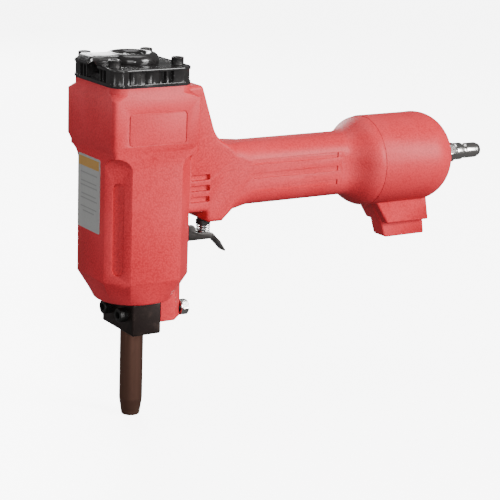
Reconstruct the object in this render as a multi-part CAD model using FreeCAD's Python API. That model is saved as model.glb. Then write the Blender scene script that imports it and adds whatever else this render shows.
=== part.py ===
import FreeCAD, Part
import math
import os

# Frame, in mm: the origin is the centre of the nose mouth, +Z runs up the drive axis
# and +X runs along the handle to the air plug.  Every part is drawn where it sits.
Vec = FreeCAD.Vector
X_AXIS = Vec(1, 0, 0)
Y_AXIS = Vec(0, 1, 0)
Z_AXIS = Vec(0, 0, 1)

# Case around the cylinder
CASE_FRONT = -33.5
CASE_REAR = 32.7
CASE_HALF = 34.0
CASE_BOTTOM = 88.0
CASE_TOP = 241.4
CASE_EDGE = 3.0
BOWL_TOP = 106.0
FACET_LEG = 13.8
FACET_TOP = 194.7
FACET_SLOT_WIDTH = 8.4
FACET_SLOT_DEPTH = 2.0
FACET_SLOT_BOTTOM = 111.5
FACET_SLOT_TOP = 176.5
RIM_RADIUS = 27.5
CHAMBER_RADIUS = 25.5
CHAMBER_FLOOR = 98.0

# Upper block and collar
BLOCK_FRONT = -35.4
BLOCK_REAR = 31.4
BLOCK_HALF = 35.7
BLOCK_BOTTOM = 196.5
BLOCK_FULL = 202.0
BLOCK_TOP = 233.4
BLOCK_FRONT_EDGE = 3.6
BLOCK_REAR_EDGE = 1.6
SHOULDER_TOP = 237.2
COLLAR_FRONT = -33.5
COLLAR_REAR = 27.4
COLLAR_HALF = 33.6
COLLAR_EDGE = 10.5
FRAME_WIDTH = 44.4
FRAME_HEIGHT = 22.8
FRAME_MIDDLE_X = -1.7
FRAME_MIDDLE_Z = 213.7

# Web, handle, drum and foot
WEB_HALF = 17.5
HANDLE_Z = 170.1
HANDLE_HALF_HEIGHT = 23.2
HANDLE_CORNER = 14.5
HANDLE_START = 86.0
HANDLE_END = 186.0
GRIP_GROOVE_START = 80.8
GRIP_GROOVE_END = 163.6
GRIP_GROOVE_WIDTH = 3.8
GRIP_GROOVE_DEPTH = 0.9
GRIP_GROOVE_HEIGHTS = (-10.0, 0.0, 10.0)
DRUM_RADIUS = 34.0
DRUM_FRONT = 190.6
DRUM_REAR = 236.8
DRUM_MOUTH = 259.6
DRUM_POLE = 270.6
AIR_RADIUS = 12.0
DRUM_BORE = 27.0
THREAD_RADIUS = 21.6
FOOT_HALF = 14.2
FOOT_BLADE_HALF = 7.2
FOOT_REAR = 250.0
FOOT_BOTTOM = 109.4
FOOT_STEP = 122.0

# Nose
TUBE_RADIUS = 8.3
TUBE_MOUTH_RADIUS = 6.3
TUBE_TAPER = 12.0
TUBE_TOP = 96.0
NAIL_RADIUS = 5.0
NAIL_DEPTH = 60.0
NOSE_FRONT = -11.8
NOSE_REAR = 10.8
NOSE_HALF_Y = 23.0
NOSE_BOTTOM = 64.9
LUG_REAR = 30.8
LUG_BOTTOM = 72.4
LUG_CHAMFER = 8.4
NOSE_SCREW_Y = 11.6
NOSE_SCREW_Z = 78.4
M6_RADIUS = 3.0
M6_HEAD_RADIUS = 5.0
M6_HEAD_HEIGHT = 6.0
M6_CLEARANCE = 3.2
M6_NUT_FLATS = 10.0
M6_NUT_HEIGHT = 5.2
M6_WASHER_RADIUS = 5.6
M6_WASHER_THICKNESS = 1.2
NOSE_SCREW_END = 38.4

# Cylinder, piston and driver
SLEEVE_OUTER = 23.0
SLEEVE_INNER = 20.0
SLEEVE_TOP = 222.0
FLANGE_BOTTOM = 150.0
FLANGE_TOP = 156.0
FLANGE_RADIUS = 25.3
BUMPER_TOP = 118.0
STROKE = 80.0
STROKE_END_GAP = 0.5
PISTON_HEIGHT = 20.0
RUNNING_GAP = 0.05
DRIVER_RADIUS = 3.5
DRIVER_TIP = 62.0

# Cap, head valve and exhaust
CAP_BOTTOM = 242.0
CAP_TOP = 254.2
CAP_FRONT = -33.9
CAP_REAR = 27.2
CAP_HALF = 34.3
CAP_CORNER = 10.0
CAP_LIP = 2.0
CAP_INSET = 4.6
CAP_WINDOW = (-23.4, 10.5)
CAP_SCREW_X = (-28.5, 19.4)
CAP_SCREW_Y = 22.2
M5_RADIUS = 2.5
M5_HEAD_RADIUS = 4.35
M5_HEAD_HEIGHT = 5.4
M5_CLEARANCE = 2.8
CAP_SCREW_END = 222.0
SPIGOT_BOTTOM = 236.0
SPIGOT_RADIUS = 25.2
VALVE_DISC_RADIUS = 24.0
VALVE_DISC_BOTTOM = 224.0
VALVE_DISC_TOP = 229.0
VALVE_STEM_RADIUS = 10.0
VALVE_STEM_TOP = 243.0
VALVE_BORE = 6.5
EXHAUST_CEILING = 250.6
SPRING_POCKET_TOP = 240.0
COVER_X = -3.8
COVER_RING = 14.0
COVER_BULGE = 4.75
COVER_MIDDLE = 256.2
COVER_FLOOR = 257.4
ARM_TOP = 260.6
HOOD_HALF = 8.9
HOOD_END = -42.6

# Trigger and its valve
PIVOT_X = 36.6
PIVOT_Z = 133.5
PIN_RADIUS = 1.8
TRIGGER_INNER = 5.8
TRIGGER_OUTER = 7.4
TRIGGER_BASE_TOP = 127.0
TRIGGER_BASE_THICKNESS = 2.2
TRIGGER_LEFT = 33.9
TAIL_HALF = 3.9
LUG_HALF = 5.0
STEM_X = 56.3
STEM_RADIUS = 2.5
STEM_BOTTOM = 127.3
BUSHING_RADIUS = 6.0
BUSHING_RING_RADIUS = 5.3
BUSHING_BOTTOM = 134.6
BUSHING_SHOULDER = 140.4
BUSHING_TOP = 159.0
BOSS_BOTTOM = 139.4


def rounded_rectangle(x0, x1, y0, y1, radius, z, rear=None):
    """Closed wire of a rectangle with round corners, flat at height z; rear is the radius of the corners at x1."""
    back = radius if rear is None else rear
    turn = radius * (1.0 - math.sqrt(0.5))
    wide = back * (1.0 - math.sqrt(0.5))
    edges = [
        Part.makeLine(Vec(x0 + radius, y0, z), Vec(x1 - back, y0, z)),
        Part.Arc(Vec(x1 - back, y0, z), Vec(x1 - wide, y0 + wide, z), Vec(x1, y0 + back, z)).toShape(),
        Part.makeLine(Vec(x1, y0 + back, z), Vec(x1, y1 - back, z)),
        Part.Arc(Vec(x1, y1 - back, z), Vec(x1 - wide, y1 - wide, z), Vec(x1 - back, y1, z)).toShape(),
        Part.makeLine(Vec(x1 - back, y1, z), Vec(x0 + radius, y1, z)),
        Part.Arc(Vec(x0 + radius, y1, z), Vec(x0 + turn, y1 - turn, z), Vec(x0, y1 - radius, z)).toShape(),
        Part.makeLine(Vec(x0, y1 - radius, z), Vec(x0, y0 + radius, z)),
        Part.Arc(Vec(x0, y0 + radius, z), Vec(x0 + turn, y0 + turn, z), Vec(x0 + radius, y0, z)).toShape(),
    ]
    return Part.Wire(edges)


def rounded_prism(x0, x1, y0, y1, z0, z1, radius):
    """Upright prism on a rounded rectangle."""
    face = Part.Face(rounded_rectangle(x0, x1, y0, y1, radius, z0))
    return face.extrude(Vec(0, 0, z1 - z0))


def box(x0, x1, y0, y1, z0, z1):
    """Box between two opposite corners."""
    return Part.makeBox(x1 - x0, y1 - y0, z1 - z0, Vec(x0, y0, z0))


def rod(radius, start, end):
    """Cylinder from one point to another."""
    along = end.sub(start)
    return Part.makeCylinder(radius, along.Length, start, along)


def upright(radius, z0, z1, x=0.0, y=0.0):
    """Vertical cylinder."""
    return Part.makeCylinder(radius, z1 - z0, Vec(x, y, z0), Z_AXIS)


def turned_z(profile, x=0.0, y=0.0):
    """Solid of revolution about a vertical line, from (radius, z) pairs."""
    wire = Part.makePolygon([Vec(x + r, y, z) for r, z in profile + profile[:1]])
    return Part.Face(wire).revolve(Vec(x, y, 0), Z_AXIS, 360)


def turned_x(profile, y=0.0, z=0.0):
    """Solid of revolution about a line along X, from (x, radius) pairs."""
    wire = Part.makePolygon([Vec(x, y, z + r) for x, r in profile + profile[:1]])
    return Part.Face(wire).revolve(Vec(0, y, z), X_AXIS, 360)


def plate_xz(points, y0, y1):
    """Prism along Y on a polygon of (x, z) corners."""
    wire = Part.makePolygon([Vec(x, y0, z) for x, z in points + points[:1]])
    return Part.Face(wire).extrude(Vec(0, y1 - y0, 0))


def hexagon(flats, start, along):
    """Hexagonal prism whose axis starts at a point and runs along a vector."""
    corner = flats / math.sqrt(3.0)
    circle = Part.makePolygon([
        Vec(corner * math.cos(math.radians(60 * i + 30)), corner * math.sin(math.radians(60 * i + 30)), 0)
        for i in range(7)
    ])
    prism = Part.Face(circle).extrude(Vec(0, 0, along.Length))
    prism.Placement = FreeCAD.Placement(start, FreeCAD.Rotation(Z_AXIS, along))
    return prism


def torus(ring_radius, wire_radius, z, x=0.0, y=0.0):
    """Round ring lying flat."""
    return Part.makeTorus(ring_radius, wire_radius, Vec(x, y, z), Z_AXIS)


def coil(mean_radius, wire_radius, z0, z1, turns, x=0.0, y=0.0):
    """Closed coil spring standing on z0 and reaching z1."""
    height = z1 - z0 - 2.0 * wire_radius
    path = Part.makeHelix(height / turns, height, mean_radius)
    wire = Part.Wire(path.Edges)
    circle = Part.Wire([Part.makeCircle(wire_radius, Vec(mean_radius, 0, 0), Y_AXIS)])
    spring = wire.makePipeShell([circle], True, True)
    spring = Part.Solid(spring) if spring.ShapeType == "Shell" else spring
    spring.translate(Vec(x, y, z0 + wire_radius))
    return spring


def picked(shape, test):
    """Edges of a shape whose bounding box passes a test."""
    return [edge for edge in shape.Edges if test(edge.BoundBox)]


def cap_screw(radius, head_radius, head_height, socket_flats, seat, tip):
    """Socket cap screw seated at one point with its tip at another."""
    along = tip.sub(seat)
    along.normalize()
    top = seat.sub(along * head_height)
    head = rod(head_radius, top, seat)
    rim = [edge for edge in head.Edges if edge.Closed and edge.CenterOfMass.isEqual(top, 0.01)]
    head = head.makeChamfer(0.5, rim)
    head = head.cut(hexagon(socket_flats, top, along * (head_height * 0.55)))
    shank = rod(radius, seat, tip)
    end = [edge for edge in shank.Edges if edge.Closed and edge.CenterOfMass.isEqual(tip, 0.01)]
    return head.fuse(shank.makeChamfer(0.5, end)).removeSplitter()


def outline_xz(corners, y0, y1):
    """Prism along Y on (x, z, radius) corners, each corner turned by an arc of its radius."""
    edges = []
    points = []
    for index, (x, z, radius) in enumerate(corners):
        here = Vec(x, y0, z)
        before = Vec(corners[index - 1][0], y0, corners[index - 1][1]).sub(here)
        after = Vec(corners[(index + 1) % len(corners)][0], y0, corners[(index + 1) % len(corners)][1]).sub(here)
        before.normalize()
        after.normalize()
        half = before.getAngle(after) / 2.0
        middle = before.add(after)
        middle.normalize()
        reach = radius / math.tan(half)
        centre = here.add(middle * (radius / math.sin(half)))
        points.append((here.add(before * reach), centre.sub(middle * radius), here.add(after * reach), radius))
    for index, (start, turn, end, radius) in enumerate(points):
        if radius > 0.0:
            edges.append(Part.Arc(start, turn, end).toShape())
        edges.append(Part.makeLine(end, points[(index + 1) % len(points)][0]))
    return Part.Face(Part.Wire(edges)).extrude(Vec(0, y1 - y0, 0))


def section_yz(x, half, z0, z1, radius):
    """Rounded rectangle standing across X, as a closed wire."""
    flat = rounded_rectangle(z0, z1, -half, half, radius, 0.0)
    flat.Placement = FreeCAD.Placement(Vec(x, 0, 0), FreeCAD.Rotation(Y_AXIS, -90))
    return flat


def facet_frame(side_x, side_y):
    """Middle point, tangent and outward normal of one 45 degree corner facet."""
    corner_x = CASE_REAR if side_x > 0 else CASE_FRONT
    middle = Vec(corner_x - side_x * FACET_LEG / 2.0, side_y * (CASE_HALF - FACET_LEG / 2.0), 0)
    outward = Vec(side_x, side_y, 0)
    outward.normalize()
    return middle, Z_AXIS.cross(outward), outward


def arched_cutter(side_x, side_y, half, bottom, top, depth, round_bottom):
    """Cutter with an arched top that enters a corner facet to a depth."""
    middle, tangent, outward = facet_frame(side_x, side_y)
    base = middle.sub(outward * depth)

    def at(u, z):
        return base.add(tangent * u).add(Z_AXIS * z)

    edges = [
        Part.makeLine(at(half, bottom), at(half, top - half)),
        Part.Arc(at(half, top - half), at(0, top), at(-half, top - half)).toShape(),
        Part.makeLine(at(-half, top - half), at(-half, bottom)),
    ]
    if round_bottom:
        edges.append(Part.Arc(at(-half, bottom), at(0, bottom - half), at(half, bottom)).toShape())
    else:
        edges.append(Part.makeLine(at(-half, bottom), at(half, bottom)))
    return Part.Face(Part.Wire(edges)).extrude(outward * (depth + 25.0))


def octagon(z):
    """Outline of the case below its arches, with a leg cut off every corner."""
    leg = FACET_LEG
    points = [
        Vec(CASE_FRONT + leg, -CASE_HALF, z), Vec(CASE_REAR - leg, -CASE_HALF, z), Vec(CASE_REAR, -CASE_HALF + leg, z),
        Vec(CASE_REAR, CASE_HALF - leg, z), Vec(CASE_REAR - leg, CASE_HALF, z), Vec(CASE_FRONT + leg, CASE_HALF, z),
        Vec(CASE_FRONT, CASE_HALF - leg, z), Vec(CASE_FRONT, -CASE_HALF + leg, z),
    ]
    return points


def rim(z, radius):
    """Circle in eight arcs, one below each side of the octagon."""
    turns = [math.atan2(p.y, p.x) for p in octagon(z)]
    edges = []
    for start, end in zip(turns, turns[1:] + turns[:1]):
        end = end + 2.0 * math.pi if end < start else end
        three = [Vec(radius * math.cos(a), radius * math.sin(a), z) for a in (start, (start + end) / 2.0, end)]
        edges.append(Part.Arc(three[0], three[1], three[2]).toShape())
    return Part.Wire(edges)


def case_body():
    """Eight-sided case that draws in to a round rim below, with arched facets at its corners."""
    case = rounded_prism(CASE_FRONT, CASE_REAR, -CASE_HALF, CASE_HALF, BOWL_TOP, BLOCK_TOP - 4.0, CASE_EDGE)
    half = FACET_LEG / math.sqrt(2.0)
    for side_x in (-1, 1):
        for side_y in (-1, 1):
            case = case.cut(arched_cutter(side_x, side_y, half, 70.0, FACET_TOP, 0.0, False))
    for side_y in (-1, 1):
        slot = arched_cutter(-1, side_y, FACET_SLOT_WIDTH / 2.0, FACET_SLOT_BOTTOM + FACET_SLOT_WIDTH / 2.0,
                             FACET_SLOT_TOP, FACET_SLOT_DEPTH, True)
        case = case.cut(slot)
    corners = octagon(BOWL_TOP)
    bowl = Part.makeLoft([rim(CASE_BOTTOM, RIM_RADIUS), Part.makePolygon(corners + corners[:1])], True, True)
    bowl = bowl.makeFillet(2.6, picked(bowl, lambda b: b.ZMax < CASE_BOTTOM + 0.1))
    return case.fuse(bowl)


def upper_block():
    """Wider block round the top of the cylinder, with a framed panel on each side, and the collar."""

    def ring(inset, z):
        return rounded_rectangle(BLOCK_FRONT + inset, BLOCK_REAR - inset, -BLOCK_HALF + inset, BLOCK_HALF - inset,
                                 BLOCK_FRONT_EDGE, z, BLOCK_REAR_EDGE)

    collar = rounded_rectangle(COLLAR_FRONT, COLLAR_REAR, -COLLAR_HALF, COLLAR_HALF, COLLAR_EDGE, SHOULDER_TOP)
    block = Part.makeLoft([ring(2.0, BLOCK_BOTTOM), ring(0.0, BLOCK_FULL), ring(0.0, BLOCK_TOP), collar], True, True)
    neck = rounded_prism(COLLAR_FRONT, COLLAR_REAR, -COLLAR_HALF, COLLAR_HALF, SHOULDER_TOP - 0.5, CASE_TOP,
                         COLLAR_EDGE)
    block = block.fuse(neck)
    x0 = FRAME_MIDDLE_X - FRAME_WIDTH / 2.0
    x1 = FRAME_MIDDLE_X + FRAME_WIDTH / 2.0
    z0 = FRAME_MIDDLE_Z - FRAME_HEIGHT / 2.0
    z1 = FRAME_MIDDLE_Z + FRAME_HEIGHT / 2.0
    for side in (-1, 1):
        y0 = side * BLOCK_HALF - 0.5
        outer = outline_xz([(x0, z0, 3), (x1, z0, 3), (x1, z1, 3), (x0, z1, 3)], y0, y0 + 1.0)
        inner = outline_xz([(x0 + 0.9, z0 + 0.9, 2.1), (x1 - 0.9, z0 + 0.9, 2.1), (x1 - 0.9, z1 - 0.9, 2.1),
                            (x0 + 0.9, z1 - 0.9, 2.1)], y0 - 1.0, y0 + 2.0)
        block = block.cut(outer.cut(inner))
        low = Vec(BLOCK_REAR - 10.0, side * BLOCK_HALF, BLOCK_BOTTOM)
        corner = box(low.x, low.x + 20.0, side * 35.0 - 1.3, side * 35.0 + 1.3, low.z - 5.0, low.z + 10.0)
        corner = corner.cut(rod(10.0, Vec(low.x, -40, low.z + 10.0), Vec(low.x, 40, low.z + 10.0)))
        block = block.cut(corner)
    return block


def web():
    """Flat web that joins the case to the handle, with the trigger valve boss below it."""
    corners = [
        (10.0, 237.8, 0), (43.6, 237.8, 3.4), (58.1, 193.5, 20.0), (88.0, 193.5, 0), (88.0, 147.0, 0),
        (71.0, 147.0, 6.0), (65.0, BOSS_BOTTOM, 6.0), (49.2, BOSS_BOTTOM, 3.4), (49.2, 147.6, 2.0), (10.0, 147.6, 0),
    ]
    plate = outline_xz(corners, -WEB_HALF, WEB_HALF)
    keep = picked(plate, lambda b: b.YLength < 0.01 and b.XMax > 34.0 and b.XMin < 87.0)
    plate = plate.makeFillet(3.0, keep)
    bottom = HANDLE_Z - HANDLE_HALF_HEIGHT
    top = HANDLE_Z + HANDLE_HALF_HEIGHT
    neck = Part.makeLoft([
        section_yz(62.0, WEB_HALF, BOSS_BOTTOM - 0.1, 197.2, 3.0),
        section_yz(72.0, WEB_HALF, 145.2, 193.8, 9.0),
        section_yz(HANDLE_START, WEB_HALF, bottom, top, HANDLE_CORNER),
    ], True, True)
    plate = plate.common(neck.fuse(box(9.0, 62.0, -30.0, 30.0, 130.0, 250.0)))
    slots = []
    for z0 in (154.9, 162.9, 170.6):
        for side in (-1, 1):
            y0 = side * (WEB_HALF - 0.9) - 1.8
            slots.append(outline_xz([(35.2, z0, 1.0), (50.8, z0, 1.2), (50.8, z0 + 4.2, 1.2), (35.2, z0 + 4.2, 1.0)],
                                    y0, y0 + 3.6))
    return plate.cut(slots)


def handle():
    """Grip with rounded corners and long grooves down each side."""
    bottom = HANDLE_Z - HANDLE_HALF_HEIGHT
    top = HANDLE_Z + HANDLE_HALF_HEIGHT
    face = Part.Face(section_yz(66.0, WEB_HALF, bottom, top, HANDLE_CORNER))
    bar = face.extrude(Vec(HANDLE_END - 66.0, 0, 0))
    grooves = []
    for height in GRIP_GROOVE_HEIGHTS:
        z0 = HANDLE_Z + height - GRIP_GROOVE_WIDTH / 2.0
        z1 = z0 + GRIP_GROOVE_WIDTH
        end = GRIP_GROOVE_WIDTH / 2.0 - 0.01
        outer = outline_xz([(GRIP_GROOVE_START, z0, end), (GRIP_GROOVE_END, z0, end), (GRIP_GROOVE_END, z1, end),
                            (GRIP_GROOVE_START, z1, end)], -40.0, 40.0)
        core = Part.Face(section_yz(60.0, WEB_HALF - GRIP_GROOVE_DEPTH, bottom + GRIP_GROOVE_DEPTH,
                                    top - GRIP_GROOVE_DEPTH, HANDLE_CORNER - GRIP_GROOVE_DEPTH))
        grooves.append(outer.cut(core.extrude(Vec(130, 0, 0))))
    return bar.cut(grooves)


def drum():
    """Round air chamber at the end of the handle, flared out of the grip, with the foot below it."""
    end = DRUM_RADIUS - 0.4
    flare = Part.makeLoft([
        section_yz(160.0, WEB_HALF - 0.1, HANDLE_Z - HANDLE_HALF_HEIGHT + 0.1, HANDLE_Z + HANDLE_HALF_HEIGHT - 0.1,
                   HANDLE_CORNER),
        section_yz(168.0, 17.8, HANDLE_Z - 23.3, HANDLE_Z + 23.3, 15.5),
        section_yz(175.0, 21.0, HANDLE_Z - 25.4, HANDLE_Z + 25.4, 19.5),
        section_yz(182.0, 28.2, HANDLE_Z - 30.2, HANDLE_Z + 30.2, 27.4),
        section_yz(188.0, 32.6, HANDLE_Z - 33.0, HANDLE_Z + 33.0, 32.2),
        section_yz(DRUM_FRONT + 3.0, end, HANDLE_Z - end, HANDLE_Z + end, end - 0.2),
    ], True, False)
    wire = [
        Part.makeLine(Vec(DRUM_FRONT + 2.0, 0, HANDLE_Z), Vec(DRUM_FRONT + 2.0, 0, HANDLE_Z + DRUM_RADIUS)),
        Part.makeLine(Vec(DRUM_FRONT + 2.0, 0, HANDLE_Z + DRUM_RADIUS), Vec(DRUM_REAR, 0, HANDLE_Z + DRUM_RADIUS)),
        Part.Arc(Vec(DRUM_REAR, 0, HANDLE_Z + DRUM_RADIUS), Vec(252.6, 0, HANDLE_Z + 30.9),
                 Vec(DRUM_MOUTH, 0, HANDLE_Z + 25.2)).toShape(),
        Part.makeLine(Vec(DRUM_MOUTH, 0, HANDLE_Z + 25.2), Vec(DRUM_MOUTH, 0, HANDLE_Z)),
        Part.makeLine(Vec(DRUM_MOUTH, 0, HANDLE_Z), Vec(DRUM_FRONT + 2.0, 0, HANDLE_Z)),
    ]
    shell = Part.Face(Part.Wire(wire)).revolve(Vec(0, 0, HANDLE_Z), X_AXIS, 360)
    ramp = [(184.0, 160.0, 0), (184.0, 149.0, 0), (194.5, 146.5, 6.0), (210.6, FOOT_STEP, 1.5),
            (FOOT_REAR, FOOT_STEP, 1.0), (246.6, 140.0, 3.0), (246.6, 150.0, 0), (240.0, 160.0, 0)]
    upper = outline_xz(ramp, -FOOT_HALF, FOOT_HALF)
    upper = upper.makeFillet(1.6, picked(upper, lambda b: b.YLength < 0.01 and b.ZMin < 141.0))
    blade = [(170.0, 158.0, 0), (170.0, 147.4, 0), (184.0, 146.4, 18.0), (200.5, 137.2, 20.0), (209.4, 122.5, 16.0),
             (213.6, FOOT_BOTTOM, 4.0), (251.8, FOOT_BOTTOM, 1.0), (249.6, FOOT_STEP + 1.0, 0), (246.0, 140.0, 0),
             (240.0, 158.0, 0)]
    lower = outline_xz(blade, -FOOT_BLADE_HALF, FOOT_BLADE_HALF)
    lower = lower.makeFillet(1.6, picked(lower, lambda b: b.YLength < 0.01 and b.ZMin < 145.0 and b.XMin > 180.0))
    return shell.fuse([flare, upper, lower])


def rear_lug():
    """Lug behind the nose block, with chamfered rear corners, and the ear that carries the trigger."""
    lug = box(NOSE_REAR + 0.3, LUG_REAR, -NOSE_HALF_Y + 1.2, NOSE_HALF_Y - 1.2, LUG_BOTTOM, 108.0)
    corners = picked(lug, lambda b: b.XMin > LUG_REAR - 0.1 and b.ZLength > 20.0)
    lug = lug.makeChamfer(LUG_CHAMFER, corners)
    lug = lug.makeFillet(1.2, picked(lug, lambda b: b.ZMax < LUG_BOTTOM + 0.1))
    ear = outline_xz([(25.0, 142.0, 0), (25.0, 124.0, 0), (31.0, 127.4, 2.0), (PIVOT_X + 3.1, PIVOT_Z - 3.1, 3.09),
                      (PIVOT_X + 3.1, PIVOT_Z + 3.1, 3.09), (33.0, 139.0, 2.0)], -LUG_HALF, LUG_HALF)
    return lug.fuse(ear)


def housing_cavities():
    """Everything that is hollow inside the housing."""
    cavity = [
        upright(CHAMBER_RADIUS, CHAMBER_FLOOR, CASE_TOP + 1.0),
        upright(TUBE_RADIUS + 0.05, CASE_BOTTOM - 1.0, CHAMBER_FLOOR + 1.0),
        rod(AIR_RADIUS, Vec(18, 0, HANDLE_Z), Vec(200, 0, HANDLE_Z)),
        turned_x([(192.0, 0), (192.0, 12.0), (200.0, DRUM_BORE), (240.0, DRUM_BORE), (247.0, THREAD_RADIUS + 0.05),
                  (DRUM_MOUTH + 1.0, THREAD_RADIUS + 0.05), (DRUM_MOUTH + 1.0, 0)], 0.0, HANDLE_Z),
        upright(BUSHING_RADIUS + 0.02, 130.0, BUSHING_TOP + 4.0, STEM_X),
        rod(PIN_RADIUS + 0.01, Vec(PIVOT_X, -7, PIVOT_Z), Vec(PIVOT_X, 7, PIVOT_Z)),
    ]
    for side in (-1, 1):
        y = side * NOSE_SCREW_Y
        cavity.append(rod(M6_CLEARANCE, Vec(0, y, NOSE_SCREW_Z), Vec(60, y, NOSE_SCREW_Z)))
        for x in CAP_SCREW_X:
            cavity.append(upright(M5_RADIUS + 0.02, CAP_SCREW_END - 2.0, CASE_TOP + 1.0, x, side * CAP_SCREW_Y))
    return cavity


def housing():
    """The red cast body."""
    body = case_body().fuse([upper_block(), web(), handle(), drum(), rear_lug()])
    body = body.cut(housing_cavities())
    return body.removeSplitter()


def nose_tube():
    """Tube that goes over the nail, tapered at the mouth, with a guide for the driver at its top."""
    return turned_z([
        (NAIL_RADIUS, 0.0), (TUBE_MOUTH_RADIUS, 0.0), (TUBE_MOUTH_RADIUS + 0.3, 0.5), (TUBE_RADIUS, TUBE_TAPER),
        (TUBE_RADIUS, TUBE_TOP - 0.6), (TUBE_RADIUS - 0.6, TUBE_TOP), (DRIVER_RADIUS + 0.6, TUBE_TOP),
        (DRIVER_RADIUS + RUNNING_GAP, TUBE_TOP - 0.8), (DRIVER_RADIUS + RUNNING_GAP, NAIL_DEPTH),
        (NAIL_RADIUS, NAIL_DEPTH),
    ])


def nose_block():
    """Steel block that clamps the tube under the case."""
    block = box(NOSE_FRONT, NOSE_REAR, -NOSE_HALF_Y, NOSE_HALF_Y, NOSE_BOTTOM, CASE_BOTTOM)
    block = block.makeChamfer(0.9, block.Edges)
    block = block.cut(upright(TUBE_RADIUS + 0.01, 60.0, 90.0))
    for side in (-1, 1):
        y = side * NOSE_SCREW_Y
        block = block.cut(rod(M6_CLEARANCE, Vec(-20, y, NOSE_SCREW_Z), Vec(20, y, NOSE_SCREW_Z)))
    return block


def nose_screws():
    """Two socket cap screws that go through the block and the lug."""
    return Part.makeCompound([
        cap_screw(M6_RADIUS, M6_HEAD_RADIUS, M6_HEAD_HEIGHT, 5.0, Vec(NOSE_FRONT, side * NOSE_SCREW_Y, NOSE_SCREW_Z),
                  Vec(NOSE_SCREW_END, side * NOSE_SCREW_Y, NOSE_SCREW_Z))
        for side in (-1, 1)
    ])


def nose_washers():
    """Plain washers under the nuts."""
    washers = []
    for side in (-1, 1):
        start = Vec(LUG_REAR, side * NOSE_SCREW_Y, NOSE_SCREW_Z)
        end = start.add(X_AXIS * M6_WASHER_THICKNESS)
        hole = rod(M6_CLEARANCE, start.sub(X_AXIS), end.add(X_AXIS))
        washers.append(rod(M6_WASHER_RADIUS, start, end).cut(hole))
    return Part.makeCompound(washers)


def nose_nuts():
    """Hexagon nuts with chamfered corners."""
    nuts = []
    first = LUG_REAR + M6_WASHER_THICKNESS
    last = first + M6_NUT_HEIGHT
    round_off = turned_x([(first, 0), (first, 5.1), (first + 0.7, 6.2), (last - 0.7, 6.2), (last, 5.1), (last, 0)])
    for side in (-1, 1):
        start = Vec(first, side * NOSE_SCREW_Y, NOSE_SCREW_Z)
        nut = hexagon(M6_NUT_FLATS, start, X_AXIS * M6_NUT_HEIGHT)
        crown = round_off.copy()
        crown.translate(Vec(0, side * NOSE_SCREW_Y, NOSE_SCREW_Z))
        nut = nut.common(crown)
        nuts.append(nut.cut(rod(M6_RADIUS + 0.02, start.sub(X_AXIS), start.add(X_AXIS * 10))))
    return Part.makeCompound(nuts)


def cylinder_sleeve():
    """Steel sleeve with a dividing flange, a seal groove and two rows of return holes."""
    sleeve = turned_z([
        (SLEEVE_INNER, CHAMBER_FLOOR), (SLEEVE_OUTER, CHAMBER_FLOOR), (SLEEVE_OUTER, FLANGE_BOTTOM),
        (FLANGE_RADIUS, FLANGE_BOTTOM), (FLANGE_RADIUS, 152.0), (23.6, 152.0), (23.6, 154.0), (FLANGE_RADIUS, 154.0),
        (FLANGE_RADIUS, FLANGE_TOP), (SLEEVE_OUTER, FLANGE_TOP), (SLEEVE_OUTER, SLEEVE_TOP - 1.0),
        (SLEEVE_OUTER - 1.0, SLEEVE_TOP), (SLEEVE_INNER + 0.6, SLEEVE_TOP), (SLEEVE_INNER, SLEEVE_TOP - 0.8),
    ])
    for z in (112.0, 146.0):
        for step in range(8):
            angle = math.radians(45.0 * step + 22.5)
            reach = Vec(30.0 * math.cos(angle), 30.0 * math.sin(angle), 0)
            sleeve = sleeve.cut(rod(2.0, Vec(0, 0, z), Vec(0, 0, z).add(reach)))
    return sleeve


def check_band():
    """Rubber band that covers the upper row of return holes from outside."""
    return turned_z([(SLEEVE_OUTER, 143.0), (24.4, 143.0), (24.4, 149.0), (SLEEVE_OUTER, 149.0)])


def piston_rest():
    """Height of the piston's lower face at rest."""
    return BUMPER_TOP + STROKE_END_GAP + STROKE


def piston():
    """Piston with a seal groove, a waist and a dish for the driver's nut."""
    z0 = piston_rest()
    radius = SLEEVE_INNER - RUNNING_GAP
    return turned_z([
        (DRIVER_RADIUS + 0.01, z0), (radius - 1.0, z0), (radius, z0 + 1.0), (radius, z0 + 5.0), (14.0, z0 + 6.5),
        (14.0, z0 + 9.5), (radius, z0 + 11.0), (radius, z0 + 13.0), (17.6, z0 + 13.0), (17.6, z0 + 15.5),
        (radius, z0 + 15.5), (radius, z0 + PISTON_HEIGHT - 1.0), (radius - 1.0, z0 + PISTON_HEIGHT),
        (10.5, z0 + PISTON_HEIGHT), (9.0, z0 + PISTON_HEIGHT - 6.0), (DRIVER_RADIUS + 0.01, z0 + PISTON_HEIGHT - 6.0),
    ])


def driver_rod():
    """Punch that pushes the nail, from its tip in the guide to its thread in the piston."""
    top = piston_rest() + PISTON_HEIGHT - 0.6
    return turned_z([
        (0, DRIVER_TIP), (DRIVER_RADIUS - 0.5, DRIVER_TIP), (DRIVER_RADIUS, DRIVER_TIP + 0.5), (DRIVER_RADIUS, top - 0.6),
        (DRIVER_RADIUS - 0.6, top), (0, top),
    ])


def driver_nut():
    """Nut that holds the driver in the piston."""
    z0 = piston_rest() + PISTON_HEIGHT - 6.0
    nut = hexagon(11.0, Vec(0, 0, z0), Z_AXIS * 4.6)
    return nut.cut(upright(DRIVER_RADIUS + 0.01, z0 - 1.0, z0 + 6.0))


def bumper():
    """Rubber stop: a full foot, a narrow neck and a head that meets the piston."""
    return turned_z([
        (7.0, CHAMBER_FLOOR), (19.6, CHAMBER_FLOOR), (19.6, 107.0), (15.5, 109.0), (15.5, BUMPER_TOP - 1.5),
        (14.0, BUMPER_TOP), (8.0, BUMPER_TOP), (5.0, 113.0), (5.0, 102.0), (7.0, 100.0),
    ])


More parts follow.
